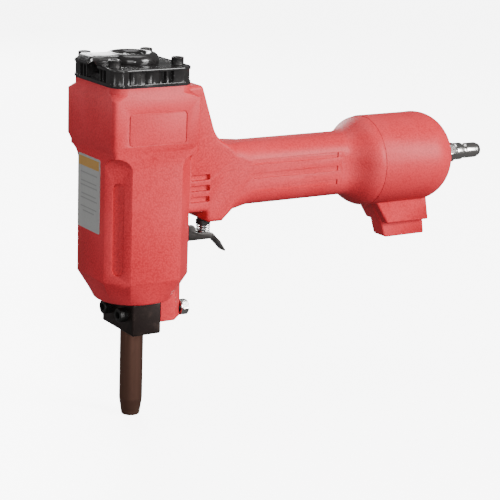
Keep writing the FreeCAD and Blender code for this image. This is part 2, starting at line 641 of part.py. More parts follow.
def head_valve():
    """Disc with a hollow stem: the disc closes the sleeve and the stem carries the exhaust."""
    return turned_z([
        (VALVE_BORE, VALVE_DISC_BOTTOM), (VALVE_DISC_RADIUS, VALVE_DISC_BOTTOM),
        (VALVE_DISC_RADIUS, VALVE_DISC_TOP - 1.0), (VALVE_DISC_RADIUS - 1.0, VALVE_DISC_TOP),
        (VALVE_STEM_RADIUS, VALVE_DISC_TOP), (VALVE_STEM_RADIUS, 238.5), (8.7, 238.5), (8.7, 240.9),
        (VALVE_STEM_RADIUS, 240.9), (VALVE_STEM_RADIUS, VALVE_STEM_TOP - 0.5), (VALVE_STEM_RADIUS - 0.5, VALVE_STEM_TOP),
        (VALVE_BORE, VALVE_STEM_TOP),
    ])


def head_valve_seal():
    """Rubber face under the disc, resting on the sleeve."""
    return turned_z([
        (VALVE_BORE + 2.0, SLEEVE_TOP), (VALVE_DISC_RADIUS - 0.5, SLEEVE_TOP),
        (VALVE_DISC_RADIUS - 0.5, VALVE_DISC_BOTTOM), (VALVE_BORE + 2.0, VALVE_DISC_BOTTOM),
    ])


def outline_prism(x0, x1, half, z0, z1, corner):
    """Prism on the cap's rounded outline."""
    return rounded_prism(x0, x1, -half, half, z0, z1, corner)


def cylinder_cap():
    """Cap: two thin plates, corner posts, pillars and fins in the recesses, a spigot and the exhaust duct."""
    lower = outline_prism(CAP_FRONT, CAP_REAR, CAP_HALF, CAP_BOTTOM, CAP_BOTTOM + CAP_LIP, CAP_CORNER)
    upper = outline_prism(CAP_FRONT, CAP_REAR, CAP_HALF, CAP_TOP - CAP_LIP, CAP_TOP, CAP_CORNER)
    upper = upper.makeFillet(0.9, picked(upper, lambda b: b.ZMin > CAP_TOP - 0.1))
    core = outline_prism(CAP_FRONT + CAP_INSET, CAP_REAR - 1.4, CAP_HALF - CAP_INSET, CAP_BOTTOM + 1.0, CAP_TOP - 1.0,
                         CAP_CORNER - 4.0)
    posts = outline_prism(CAP_FRONT + 0.7, CAP_REAR - 0.7, CAP_HALF - 0.7, CAP_BOTTOM + 1.0, CAP_TOP - 1.0,
                          CAP_CORNER - 0.7)
    posts = posts.cut([
        box(CAP_WINDOW[0], CAP_WINDOW[1], -60.0, 60.0, CAP_BOTTOM, CAP_TOP),
        box(-60.0, CAP_FRONT + CAP_INSET, -19.0, 19.0, CAP_BOTTOM, CAP_TOP),
    ])
    spigot = upright(SPIGOT_RADIUS, SPIGOT_BOTTOM, CAP_BOTTOM + 1.0)
    extra = [upper, core, posts, spigot]
    for side in (-1, 1):
        for x, radius in ((-17.4, 5.6), (-3.6, 7.2)):
            extra.append(upright(radius, CAP_BOTTOM + 0.5, CAP_TOP - 0.5, x, side * (CAP_HALF - 1.6 - radius)))
        extra.append(box(5.0, 6.2, side * 30.8 - 2.6, side * 30.8 + 2.6, CAP_BOTTOM + 0.5, CAP_TOP - 0.5))
        for y in (10.0, 14.5):
            extra.append(box(CAP_FRONT + 0.8, CAP_FRONT + 6.0, side * y - 0.6, side * y + 0.6, CAP_BOTTOM + 0.5,
                             CAP_TOP - 0.5))
    cap = lower.fuse(extra)
    holes = [
        upright(VALVE_STEM_RADIUS + RUNNING_GAP, SPIGOT_BOTTOM - 1.0, 247.3),
        upright(8.0, 247.0, EXHAUST_CEILING),
        box(-40.0, 0.0, -8.0, 8.0, 247.3, EXHAUST_CEILING),
        box(-40.0, CAP_FRONT + 9.0, -7.3, 7.3, 247.3, CAP_TOP + 1.0),
        turned_z([(12.6, SPIGOT_BOTTOM - 1.0), (17.4, SPIGOT_BOTTOM - 1.0), (17.4, SPRING_POCKET_TOP),
                  (12.6, SPRING_POCKET_TOP)]),
        upright(M5_RADIUS + 0.02, EXHAUST_CEILING + 0.8, CAP_TOP + 3.0, COVER_X),
    ]
    for x in CAP_SCREW_X:
        for side in (-1, 1):
            holes.append(upright(M5_CLEARANCE, CAP_BOTTOM - 1.0, CAP_TOP + 1.0, x, side * CAP_SCREW_Y))
    return cap.cut(holes).removeSplitter()


def cap_gasket():
    """Thin sheet between the case and the cap."""
    sheet = outline_prism(COLLAR_FRONT + 0.4, COLLAR_REAR - 0.4, COLLAR_HALF - 0.4, CASE_TOP, CAP_BOTTOM,
                          COLLAR_EDGE - 0.4)
    sheet = sheet.cut(upright(SPIGOT_RADIUS + 0.1, CASE_TOP - 1.0, CAP_BOTTOM + 1.0))
    for x in CAP_SCREW_X:
        for side in (-1, 1):
            sheet = sheet.cut(upright(M5_CLEARANCE, CASE_TOP - 1.0, CAP_BOTTOM + 1.0, x, side * CAP_SCREW_Y))
    return sheet


def cap_screws():
    """Four socket cap screws at the corners of the cap."""
    return Part.makeCompound([
        cap_screw(M5_RADIUS, M5_HEAD_RADIUS, M5_HEAD_HEIGHT, 4.0, Vec(x, side * CAP_SCREW_Y, CAP_TOP),
                  Vec(x, side * CAP_SCREW_Y, CAP_SCREW_END))
        for x in CAP_SCREW_X for side in (-1, 1)
    ])


def exhaust_hood():
    """Round bulging cover with an arm and a rolled hood that turns the exhaust down over the front of the cap."""
    bulge = Part.makeTorus(COVER_RING, COVER_BULGE, Vec(COVER_X, 0, COVER_MIDDLE), Z_AXIS)
    bulge = bulge.cut(upright(40.0, 240.0, CAP_TOP, COVER_X))
    disc = upright(COVER_RING, CAP_TOP, COVER_FLOOR, COVER_X)
    arm = outline_xz([(COVER_X - 4.0, CAP_TOP, 0), (COVER_X - 4.0, ARM_TOP - 0.4, 0), (-38.2, ARM_TOP, 3.2),
                      (HOOD_END, ARM_TOP - 3.8, 0.6), (HOOD_END + 1.2, ARM_TOP - 5.2, 0.6), (-36.4, ARM_TOP - 3.8, 1.0),
                      (-34.6, CAP_TOP, 0)], -HOOD_HALF, HOOD_HALF)
    arm = arm.makeFillet(0.8, picked(arm, lambda b: b.YLength < 0.01 and b.XMax < -8.0 and b.ZMin > ARM_TOP - 4.0))
    hollow = outline_xz([(-24.0, CAP_TOP - 1.0, 0), (-24.0, ARM_TOP - 2.0, 1.0), (-37.2, ARM_TOP - 1.8, 2.0),
                         (HOOD_END - 1.0, ARM_TOP - 6.2, 0), (-46.0, CAP_TOP - 4.0, 0)], -HOOD_HALF + 1.6,
                        HOOD_HALF - 1.6)
    arm = arm.cut(hollow)
    ribs = []
    for side in (-1, 1):
        for z in (CAP_TOP + 1.4, CAP_TOP + 3.2):
            ribs.append(rod(0.5, Vec(-33.5, side * HOOD_HALF, z), Vec(-18.5, side * HOOD_HALF, z)))
    hood = bulge.fuse([disc, arm] + ribs)
    hood = hood.cut([upright(M5_CLEARANCE, CAP_TOP - 1.0, COVER_FLOOR + 1.0, COVER_X),
                     upright(COVER_RING - COVER_BULGE + 0.6, COVER_FLOOR, ARM_TOP + 2.0, COVER_X)])
    return hood.removeSplitter()


def hood_screw():
    """Low round-headed screw that holds the exhaust cover."""
    seat = COVER_FLOOR
    head = turned_z([(0, seat), (4.75, seat), (4.75, seat + 0.6), (3.8, seat + 1.4), (2.0, seat + 1.9),
                     (0, seat + 1.9)], COVER_X)
    head = head.cut(hexagon(3.0, Vec(COVER_X, 0, seat + 0.8), Z_AXIS * 3.0))
    return head.fuse(upright(M5_RADIUS, EXHAUST_CEILING + 1.2, seat, COVER_X)).removeSplitter()


def trigger_lever():
    """Folded trigger: two cheeks on the pivot pin, a base under the stem and a narrow curved finger tail."""
    base_bottom = TRIGGER_BASE_TOP - TRIGGER_BASE_THICKNESS
    side = outline_xz([
        (TRIGGER_LEFT, base_bottom, 2.0), (TRIGGER_LEFT, PIVOT_Z + 3.3, 2.6), (45.4, PIVOT_Z + 2.6, 3.0),
        (46.4, 130.2, 2.0), (60.2, 129.2, 4.0), (68.6, 121.8, 8.0), (73.8, 113.8, 0.5), (72.6, 113.2, 0.5),
        (67.2, 119.0, 8.0), (61.6, base_bottom, 5.0),
    ], -TRIGGER_OUTER, TRIGGER_OUTER)
    inside = outline_xz([
        (TRIGGER_LEFT - 5.0, TRIGGER_BASE_TOP, 0), (TRIGGER_LEFT - 5.0, 142.0, 0), (64.0, 142.0, 0),
        (64.0, TRIGGER_BASE_TOP, 2.0),
    ], -TRIGGER_INNER, TRIGGER_INNER)
    lever = side.cut(inside)
    for sign in (-1, 1):
        start = Vec(60.0, sign * TRIGGER_OUTER, 100.0)
        waist = Part.makePolygon([start, Vec(66.0, sign * TAIL_HALF, 100.0), Vec(90.0, sign * TAIL_HALF, 100.0),
                                  Vec(90.0, sign * 20.0, 100.0), Vec(60.0, sign * 20.0, 100.0), start])
        lever = lever.cut(Part.Face(waist).extrude(Vec(0, 0, 40.0)))
    return lever.cut(rod(PIN_RADIUS + 0.05, Vec(PIVOT_X, -20, PIVOT_Z), Vec(PIVOT_X, 20, PIVOT_Z)))


def trigger_pin():
    """Pin with a flat head at each end."""
    pin = rod(PIN_RADIUS, Vec(PIVOT_X, -TRIGGER_OUTER - 0.8, PIVOT_Z), Vec(PIVOT_X, TRIGGER_OUTER + 0.8, PIVOT_Z))
    heads = []
    for side in (-1, 1):
        start = Vec(PIVOT_X, side * (TRIGGER_OUTER + 0.2), PIVOT_Z)
        head = rod(2.7, start, start.add(Y_AXIS * (side * 0.9)))
        heads.append(head)
    return pin.fuse(heads).removeSplitter()


def valve_bushing():
    """Body of the trigger valve, with the black ring that shows below the housing."""
    return turned_z([
        (STEM_RADIUS + RUNNING_GAP, BUSHING_BOTTOM), (BUSHING_RING_RADIUS - 0.4, BUSHING_BOTTOM),
        (BUSHING_RING_RADIUS, BUSHING_BOTTOM + 0.4), (BUSHING_RING_RADIUS, BUSHING_BOTTOM + 3.0),
        (BUSHING_RING_RADIUS - 0.7, BUSHING_BOTTOM + 3.4), (BUSHING_RING_RADIUS - 0.7, BUSHING_SHOULDER),
        (BUSHING_RADIUS, BUSHING_SHOULDER), (BUSHING_RADIUS, BUSHING_TOP), (4.5, BUSHING_TOP), (4.5, 149.0),
        (STEM_RADIUS + RUNNING_GAP, 148.0),
    ], STEM_X)


def valve_stem():
    """Stem with a round lower end and a head that holds its seal."""
    cap_top = 155.0
    ball = Part.makeSphere(STEM_RADIUS, Vec(STEM_X, 0, STEM_BOTTOM + STEM_RADIUS))
    shaft = upright(STEM_RADIUS, STEM_BOTTOM + STEM_RADIUS, cap_top - 0.5, STEM_X)
    head = turned_z([(0, 152.8), (3.7, 152.8), (3.9, 153.2), (3.9, cap_top - 0.5), (3.4, cap_top), (0, cap_top)],
                    STEM_X)
    return ball.fuse([shaft, head]).removeSplitter()


def end_cap():
    """Threaded plug that closes the drum and carries the air plug."""
    plug = turned_x([
        (248.5, 6.62), (248.5, THREAD_RADIUS - 0.6), (249.1, THREAD_RADIUS), (255.8, THREAD_RADIUS),
        (255.8, 20.2), (257.2, 20.2), (257.2, THREAD_RADIUS), (DRUM_MOUTH, THREAD_RADIUS),
        (DRUM_MOUTH, 24.4), (262.6, 21.6), (265.2, 17.8), (DRUM_POLE - 3.2, 13.6), (DRUM_POLE - 1.0, 11.0),
        (DRUM_POLE, 9.6), (DRUM_POLE, 6.62),
    ], 0.0, HANDLE_Z)
    inside = turned_x([(248.0, 0), (248.0, 17.0), (258.0, 15.0), (258.0, 0)], 0.0, HANDLE_Z)
    plug = plug.cut(inside)
    flats = [box(260.4, 275.0, side * 19.5 - 2.5, side * 19.5 + 2.5, HANDLE_Z - 40.0, HANDLE_Z + 40.0)
             for side in (-1, 1)]
    return plug.cut(flats)


def air_plug():
    """Quick-connect plug: thread, hexagon, collar and a grooved nose, with a through bore."""
    stem = turned_x([
        (256.0, 3.5), (256.0, 6.0), (257.0, 6.6), (DRUM_POLE + 0.3, 6.6), (DRUM_POLE + 0.3, 6.0), (280.0, 6.0),
        (281.2, 6.6), (287.4, 6.6), (288.2, 5.0), (290.2, 5.0), (291.2, 5.9), (301.6, 5.9), (304.9, 4.6),
        (304.9, 3.5),
    ], 0.0, HANDLE_Z)
    nut = hexagon(14.0, Vec(DRUM_POLE + 0.3, 0, HANDLE_Z), X_AXIS * 8.4)
    round_off = turned_x([(DRUM_POLE, 0), (DRUM_POLE, 7.2), (DRUM_POLE + 1.2, 8.4), (278.0, 8.4), (279.0, 7.2),
                          (279.0, 0)], 0.0, HANDLE_Z)
    nut = nut.common(round_off).cut(rod(5.0, Vec(260, 0, HANDLE_Z), Vec(290, 0, HANDLE_Z)))
    return stem.fuse(nut).removeSplitter()


def blank_label():
    """Plain sticker on the flat front of the case."""
    label = outline_yz([(-13.5, 138.5, 1.6), (19.6, 138.5, 1.6), (19.6, 190.3, 1.6), (-13.5, 190.3, 1.6)],
                       CASE_FRONT - 0.4, CASE_FRONT)
    return label


def outline_yz(corners, x0, x1):
    """Prism along X on (y, z, radius) corners."""
    shape = outline_xz(corners, 0.0, x1 - x0)
    shape.Placement = FreeCAD.Placement(Vec(x1, 0, 0), FreeCAD.Rotation(Z_AXIS, 90))
    return shape


NODES = {
    "housing": housing,
    "end_cap": end_cap,
    "end_cap_oring": lambda: Part.makeTorus(20.9, 0.69, Vec(256.5, 0, HANDLE_Z), X_AXIS),
    "air_plug": air_plug,
    "cylinder_cap": cylinder_cap,
    "cap_gasket": cap_gasket,
    "cap_screws": cap_screws,
    "exhaust_hood": exhaust_hood,
    "hood_screw": hood_screw,
    "nose_block": nose_block,
    "nose_tube": nose_tube,
    "nose_screws": nose_screws,
    "nose_nuts": nose_nuts,
    "nose_washers": nose_washers,
    "cylinder_sleeve": cylinder_sleeve,
    "sleeve_oring": lambda: torus(24.55, 0.93, 153.0),
    "check_band": check_band,
    "piston": piston,
    "piston_oring": lambda: torus(18.75, 1.15, piston_rest() + 14.25),
    "driver_rod": driver_rod,
    "driver_nut": driver_nut,
    "bumper": bumper,
    "head_valve": head_valve,
    "head_valve_seal": head_valve_seal,
    "head_valve_oring": lambda: torus(9.35, 0.65, 239.7),
    "head_valve_spring": lambda: coil(15.0, 0.9, VALVE_DISC_TOP + 0.1, SPRING_POCKET_TOP - 0.1, 3.25),
    "trigger_lever": trigger_lever,
    "trigger_pin": trigger_pin,
    "trigger_spring": lambda: coil(4.7, 0.45, TRIGGER_BASE_TOP + 0.1, BUSHING_BOTTOM - 0.1, 3.25, STEM_X),
    "valve_bushing": valve_bushing,
    "valve_stem": valve_stem,
    "valve_oring": lambda: torus(3.48, 0.93, 151.8, STEM_X),
    "blank_label": blank_label,
}

os.makedirs("parts", exist_ok=True)
for name, make in NODES.items():
    shape = make()
    shape.exportStep("parts/" + name + ".step")
    print(name, shape.isValid(), len(shape.Solids), round(shape.Volume))
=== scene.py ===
import logging
import math
from dataclasses import dataclass, field
from enum import Enum
from typing import Sequence, Union

import bmesh
import bpy
import numpy as np
from mathutils import Matrix, Vector


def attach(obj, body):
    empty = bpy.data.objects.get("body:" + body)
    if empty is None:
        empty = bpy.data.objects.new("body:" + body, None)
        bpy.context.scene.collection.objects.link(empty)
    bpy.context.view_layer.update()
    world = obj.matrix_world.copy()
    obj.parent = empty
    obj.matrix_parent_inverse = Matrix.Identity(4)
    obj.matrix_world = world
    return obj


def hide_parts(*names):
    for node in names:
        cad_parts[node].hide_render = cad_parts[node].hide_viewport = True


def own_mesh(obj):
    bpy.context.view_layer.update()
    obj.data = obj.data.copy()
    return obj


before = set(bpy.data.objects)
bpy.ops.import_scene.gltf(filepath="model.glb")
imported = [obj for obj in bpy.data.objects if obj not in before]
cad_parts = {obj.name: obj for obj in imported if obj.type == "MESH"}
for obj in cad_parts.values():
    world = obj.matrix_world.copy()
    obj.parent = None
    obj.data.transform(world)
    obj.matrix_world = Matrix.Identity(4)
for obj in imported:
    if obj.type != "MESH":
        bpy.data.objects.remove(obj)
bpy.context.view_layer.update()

LOG = logging.getLogger("nail_remover")
TAU = 2.0 * math.pi
MM = 0.001

Number = Union[int, float]
# A colour, a point or a direction
Triple = tuple[float, float, float]


# ---------------------------------------------------------------- shader expressions


class Value:
    """A shader output that Python operators turn into Math nodes.

    Args:
        graph: The node graph that the output belongs to.
        socket: The output socket.
    """

    def __init__(self, graph: "Graph", socket: bpy.types.NodeSocket) -> None:
        """Keeps the graph and the socket."""
        self.graph = graph
        self.socket = socket

    def _math(self, operation: str, *operands: Union["Value", Number]) -> "Value":
        """Adds one Math node.

        Args:
            operation: The node's operation.
            operands: Its inputs, in order.

        Returns:
            The node's output.
        """
        return self.graph.add("ShaderNodeMath", {"operation": operation}, dict(enumerate(operands)))

    def __add__(self, other: Union["Value", Number]) -> "Value":
        """Sum."""
        return self._math("ADD", self, other)

    def __radd__(self, other: Number) -> "Value":
        """Sum with the number first."""
        return self._math("ADD", other, self)

    def __sub__(self, other: Union["Value", Number]) -> "Value":
        """Difference."""
        return self._math("SUBTRACT", self, other)

    def __rsub__(self, other: Number) -> "Value":
        """Difference with the number first."""
        return self._math("SUBTRACT", other, self)

    def __mul__(self, other: Union["Value", Number]) -> "Value":
        """Product."""
        return self._math("MULTIPLY", self, other)

    def __rmul__(self, other: Number) -> "Value":
        """Product with the number first."""
        return self._math("MULTIPLY", other, self)

    def __abs__(self) -> "Value":
        """Absolute value."""
        return self._math("ABSOLUTE", self)

    def least(self, other: Union["Value", Number]) -> "Value":
        """Smaller of two values."""
        return self._math("MINIMUM", self, other)

    def ramp(self, low: float, high: float) -> "Value":
        """Smooth step that is 0 at low and 1 at high.

        Args:
            low: Value where the step starts.
            high: Value where the step ends.

        Returns:
            The stepped value.
        """
        settings = {"interpolation_type": "SMOOTHSTEP"}
        return self.graph.add("ShaderNodeMapRange", settings, {"Value": self, "From Min": low, "From Max": high})


class Graph:
    """The node graph of one material, with its shader and object coordinates.

    Args:
        name: The material's name.
    """

    def __init__(self, name: str) -> None:
        """Makes the material and its output.

        Args:
            name: The material's name.
        """
        self.material = bpy.data.materials.new(name)
        self.material.use_nodes = True
        self.tree = self.material.node_tree
        self.shader = self.tree.nodes["Principled BSDF"]
        self.coords = self.add("ShaderNodeTexCoord", {}, {}, "Object")

    def add(
        self,
        kind: str,
        settings: dict[str, object],
        inputs: dict[Union[str, int], object],
        output: Union[str, int] = 0,
    ) -> Value:
        """Adds one node.

        Args:
            kind: The node's type.
            settings: Node properties, set before the sockets.
            inputs: Socket names or numbers with their values or links.
            output: The output that is returned.

        Returns:
            That output as a Value.
        """
        node = self.tree.nodes.new(kind)
        for key, setting in settings.items():
            setattr(node, key, setting)
        for key, given in inputs.items():
            self.feed(node.inputs[key], given)
        return Value(self, node.outputs[output])

    def feed(self, socket: bpy.types.NodeSocket, given: object) -> None:
        """Links a Value to a socket, or sets a constant on it.

        Args:
            socket: The input socket.
            given: A Value, number, colour or vector.
        """
        if isinstance(given, Value):
            self.tree.links.new(given.socket, socket)
        elif isinstance(given, tuple) and socket.type == "RGBA":
            socket.default_value = (*given, 1.0)
        else:
            socket.default_value = given

    def set(self, **inputs: object) -> None:
        """Feeds the shader's sockets; underscores stand for spaces."""
        for key, given in inputs.items():
            self.feed(self.shader.inputs[key.replace("_", " ")], given)

    def axis(self, name: str) -> Value:
        """One object coordinate in metres: X, Y or Z."""
        return self.add("ShaderNodeSeparateXYZ", {}, {0: self.coords}, name)

    def noise(self, size: float, detail: float = 3.0, roughness: float = 0.5, stretch: Triple = (1, 1, 1)) -> Value:
        """Noise between 0 and 1.

        Args:
            size: Size of a blob in metres.
            detail: Octaves.
            roughness: Weight of the finer octaves.
            stretch: Scale of the coordinates along each axis.

        Returns:
            The noise value.
        """
        place = self.add("ShaderNodeMapping", {}, {"Vector": self.coords, "Scale": stretch})
        inputs = {"Vector": place, "Scale": 1.0 / size, "Detail": detail, "Roughness": roughness}
        return self.add("ShaderNodeTexNoise", {}, inputs, "Fac")

    def cells(self, size: float, smooth: float = 1.0) -> Value:
        """Distance to the nearest of many scattered points, 0 at a point.

        Args:
            size: Distance between points in metres.
            smooth: How soft the borders between cells are.

        Returns:
            The distance value.
        """
        inputs = {"Vector": self.coords, "Scale": 1.0 / size, "Smoothness": smooth}
        return self.add("ShaderNodeTexVoronoi", {"feature": "SMOOTH_F1"}, inputs, "Distance")

    def blend(self, factor: Union[Value, Number], first: object, second: object) -> Value:
        """Mixes two colours.

        Args:
            factor: 0 gives the first and 1 the second.
            first: Colour or Value.
            second: Colour or Value.

        Returns:
            The mixed colour.
        """
        return self.add("ShaderNodeMix", {"data_type": "RGBA"}, {0: factor, 6: first, 7: second}, 2)

    def bump(self, height: Value, distance: float, strength: float = 1.0) -> Value:
        """Normal bent by a height.

        Args:
            height: Height between 0 and 1.
            distance: Height of 1 in metres.
            strength: Share of the effect.

        Returns:
            The bent normal.
        """
        return self.add("ShaderNodeBump", {}, {"Strength": strength, "Distance": distance, "Height": height})


# ---------------------------------------------------------------- finishes


@dataclass(frozen=True)
class Finish:
    """A procedural finish; make() returns its material."""

    name: str

    def make(self) -> bpy.types.Material:
        """Builds the material.

        Returns:
            The dressed material.
        """
        graph = Graph(self.name)
        self.dress(graph)
        return graph.material

    def dress(self, graph: Graph) -> None:
        """Wires the finish into a graph."""
        raise NotImplementedError


@dataclass(frozen=True)
class CastPaint(Finish):
    """Satin paint over a pebbled casting.

    Attributes:
        colour: Main colour.
        hollow_shade: Colour of the painted shade in the hollows of the grain.
        pale: Colour of the dusty patches.
        grain: Distance between pebbles in metres.
        relief: Height of the pebbles in metres.
        roughness: Middle roughness.
    """

    colour: Triple = (0.60, 0.030, 0.040)
    hollow_shade: Triple = (0.46, 0.018, 0.026)
    pale: Triple = (0.66, 0.058, 0.070)
    grain: float = 0.0011
    relief: float = 0.00012
    roughness: float = 0.48

    def dress(self, graph: Graph) -> None:
        """Pebbles from soft cells and noise, with painted shade darkening the hollows between them; colour and gloss
        drift slowly over the casting.

        Args:
            graph: The material's node graph.
        """
        pebbles = 1.0 - graph.cells(self.grain)
        fine = graph.noise(self.grain * 0.6, 2.0)
        drift = graph.noise(0.045, 3.0)
        specks = graph.noise(0.0035, 4.0, 0.65)
        height = pebbles * 0.75 + fine * 0.25
        # Painted shade: the hollows between the pebbles are blended towards the darker colour.
        base = graph.blend(pebbles.ramp(0.25, 0.85), self.hollow_shade, self.colour)
        tone = graph.blend(drift.ramp(0.35, 0.75) * 0.45, base, self.pale)
        graph.set(
            Base_Color=graph.blend(specks.ramp(0.60, 0.80) * 0.30, tone, self.pale),
            Roughness=self.roughness - 0.06 + drift * 0.10 + specks * 0.04,
            Normal=graph.bump(height, self.relief),
        )
        graph.set(Specular_IOR_Level=0.25)


@dataclass(frozen=True)
class Moulding(Finish):
    """Glossy black moulding with a faint orange peel.

    Attributes:
        colour: Main colour.
        sheen: Colour of worn patches.
        roughness: Middle roughness.
        peel: Size of the orange peel in metres.
    """

    colour: Triple = (0.016, 0.015, 0.015)
    sheen: Triple = (0.036, 0.034, 0.033)
    roughness: float = 0.15
    peel: float = 0.0022

    def dress(self, graph: Graph) -> None:
        """Low waves bend the reflections, and handling dulls some patches.

        Args:
            graph: The material's node graph.
        """
        waves = graph.noise(self.peel, 2.0)
        patches = graph.noise(0.012, 4.0, 0.6)
        dull = patches.ramp(0.45, 0.75)
        graph.set(
            Base_Color=graph.blend(dull * 0.6, self.colour, self.sheen),
            Roughness=self.roughness + dull * 0.14,
            Normal=graph.bump(waves, 0.00004),
        )


@dataclass(frozen=True)
class Steel(Finish):
    """Metal with a grain, from bright plate to dark oxide.

    Attributes:
        colour: Main colour.
        worn: Colour of the brighter wear.
        metallic: Metallic share.
        roughness: Middle roughness.
        stretch: Scale of the grain along each axis; small numbers draw it out.
        grain: Size of the grain in metres.
        relief: Height of the grain in metres.
        wear: Share of worn patches.
    """

    colour: Triple = (0.6, 0.6, 0.6)
    worn: Triple = (0.7, 0.7, 0.7)
    metallic: float = 1.0
    roughness: float = 0.3
    stretch: Triple = (1.0, 1.0, 1.0)
    grain: float = 0.0008
    relief: float = 0.00001
    wear: float = 0.4

    def dress(self, graph: Graph) -> None:
        """Drawn-out noise makes the grain, and broad noise the wear.

        Args:
            graph: The material's node graph.
        """
        lines = graph.noise(self.grain, 3.0, 0.6, self.stretch)
        broad = graph.noise(self.grain * 9.0, 4.0, 0.6)
        worn = broad.ramp(0.5, 0.75) * self.wear
        graph.set(
            Base_Color=graph.blend(worn + lines * 0.12, self.colour, self.worn),
            Roughness=self.roughness - 0.05 + lines * 0.12 + broad * 0.06,
            Normal=graph.bump(lines, self.relief),
        )
        graph.set(Metallic=self.metallic)


@dataclass(frozen=True)
class Elastic(Finish):
    """Rubber or cast urethane.

    Attributes:
        colour: Main colour.
        bloom: Colour of the pale bloom.
        roughness: Middle roughness.
    """

    colour: Triple = (0.014, 0.014, 0.015)
    bloom: Triple = (0.045, 0.045, 0.045)
    roughness: float = 0.62

    def dress(self, graph: Graph) -> None:
        """A powdery bloom over a fine grain.

        Args:
            graph: The material's node graph.
        """
        fine = graph.noise(0.0005, 3.0)
        cloud = graph.noise(0.006, 4.0, 0.6)
        graph.set(
            Base_Color=graph.blend(cloud.ramp(0.4, 0.8) * 0.5, self.colour, self.bloom),
            Roughness=self.roughness + cloud * 0.12,
            Normal=graph.bump(fine, 0.00002),
        )


@dataclass(frozen=True)
class LabelPrint(Finish):
    """Blank sticker: a coloured head band over a pale field with plain rules.

    Attributes:
        field_colour: Colour of the field.
        band_colour: Colour of the head band.
        rule_colour: Colour of the rules.
        low: Lowest Y and Z in metres.
        high: Highest Y and Z in metres.
    """

    field_colour: Triple = (0.33, 0.33, 0.325)
    band_colour: Triple = (0.42, 0.23, 0.06)
    rule_colour: Triple = (0.12, 0.12, 0.12)
    low: tuple[float, float] = (-0.0135, 0.1385)
    high: tuple[float, float] = (0.0196, 0.1903)

    def dress(self, graph: Graph) -> None:
        """Masks made of smooth steps along Y and Z pick the band, the border and the rules.

        Args:
            graph: The material's node graph.
        """
        across = graph.axis("Y")
        up = graph.axis("Z")
        soft = 0.00015
        band = up.ramp(self.high[1] - 0.0080 - soft, self.high[1] - 0.0080)
        inset = 0.0014
        sides = across.ramp(self.low[0] + inset, self.low[0] + inset + soft)
        sides = sides * (1.0 - across.ramp(self.high[0] - inset - soft, self.high[0] - inset))
        frame_mask = sides * up.ramp(self.low[1] + inset, self.low[1] + inset + soft)
        frame_mask = frame_mask * (1.0 - up.ramp(self.high[1] - inset - soft, self.high[1] - inset))
        middle = (self.low[0] + self.high[0]) / 2.0
        rules = 0.0
        for line, half in ((0.0125, 0.0125), (0.0185, 0.0118), (0.0215, 0.0125), (0.0275, 0.0110), (0.0305, 0.0124),
                           (0.0365, 0.0120), (0.0395, 0.0086)):
            thin = 1.0 - abs(up - (self.high[1] - line)).ramp(0.00030, 0.00055)
            short = 1.0 - abs(across - middle).ramp(half - soft, half)
            rules = thin * short + rules
        scuff = graph.noise(0.0018, 4.0, 0.6)
        base = graph.blend(rules.least(1.0) * 0.5, self.field_colour, self.rule_colour)
        base = graph.blend(band, base, self.band_colour)
        base = graph.blend(1.0 - frame_mask, base, self.field_colour)
        graph.set(
            Base_Color=graph.blend(scuff.ramp(0.55, 0.8) * 0.25, base, self.rule_colour),
            Roughness=0.38 + scuff * 0.14,
            Normal=graph.bump(scuff, 0.00001),
        )


RED = CastPaint("cast_paint_red")
CAP_BLACK = Moulding("cap_black")
SCREW_BLACK = Steel("screw_black_oxide", (0.018, 0.017, 0.017), (0.10, 0.095, 0.09), 0.7, 0.34, wear=0.5)
BLOCK_BLACK = Steel("block_black_oxide", (0.022, 0.015, 0.014), (0.09, 0.06, 0.05), 0.75, 0.36, grain=0.0012,
                    relief=0.00003, wear=0.5)
TUBE_BROWN = Steel("tube_browned", (0.17, 0.085, 0.062), (0.30, 0.17, 0.13), 0.9, 0.3, (1.0, 1.0, 12.0), 0.004,
                   0.00001, 0.4)
PLATE_BRIGHT = Steel("plate_bright", (0.60, 0.58, 0.56), (0.76, 0.74, 0.72), 1.0, 0.17, (1.0, 8.0, 8.0), 0.004,
                     0.000006, 0.3)
TRIGGER_GREY = Steel("trigger_grey", (0.062, 0.057, 0.055), (0.17, 0.16, 0.155), 0.85, 0.33, (1.0, 6.0, 1.0), 0.002,
                     0.00001, 0.5)
TOOL_STEEL = Steel("tool_steel", (0.42, 0.42, 0.43), (0.58, 0.58, 0.58), 1.0, 0.25, (1.0, 1.0, 8.0), 0.003,
                   0.00001, 0.4)
SPRING_BRIGHT = Steel("spring_bright", (0.66, 0.66, 0.65), (0.8, 0.8, 0.79), 1.0, 0.2, wear=0.3)
ALLOY = Steel("turned_alloy", (0.68, 0.69, 0.70), (0.8, 0.8, 0.8), 1.0, 0.3, (1.0, 1.0, 14.0), 0.005, 0.00001, 0.4)
VALVE_BLACK = Moulding("valve_black", (0.014, 0.014, 0.014), (0.035, 0.034, 0.033), 0.36, 0.0012)
SEAL_BLACK = Elastic("seal_black")
BUMPER_AMBER = Elastic("bumper_urethane", (0.42, 0.25, 0.06), (0.5, 0.36, 0.14), 0.48)
LABEL = LabelPrint("label_blank")


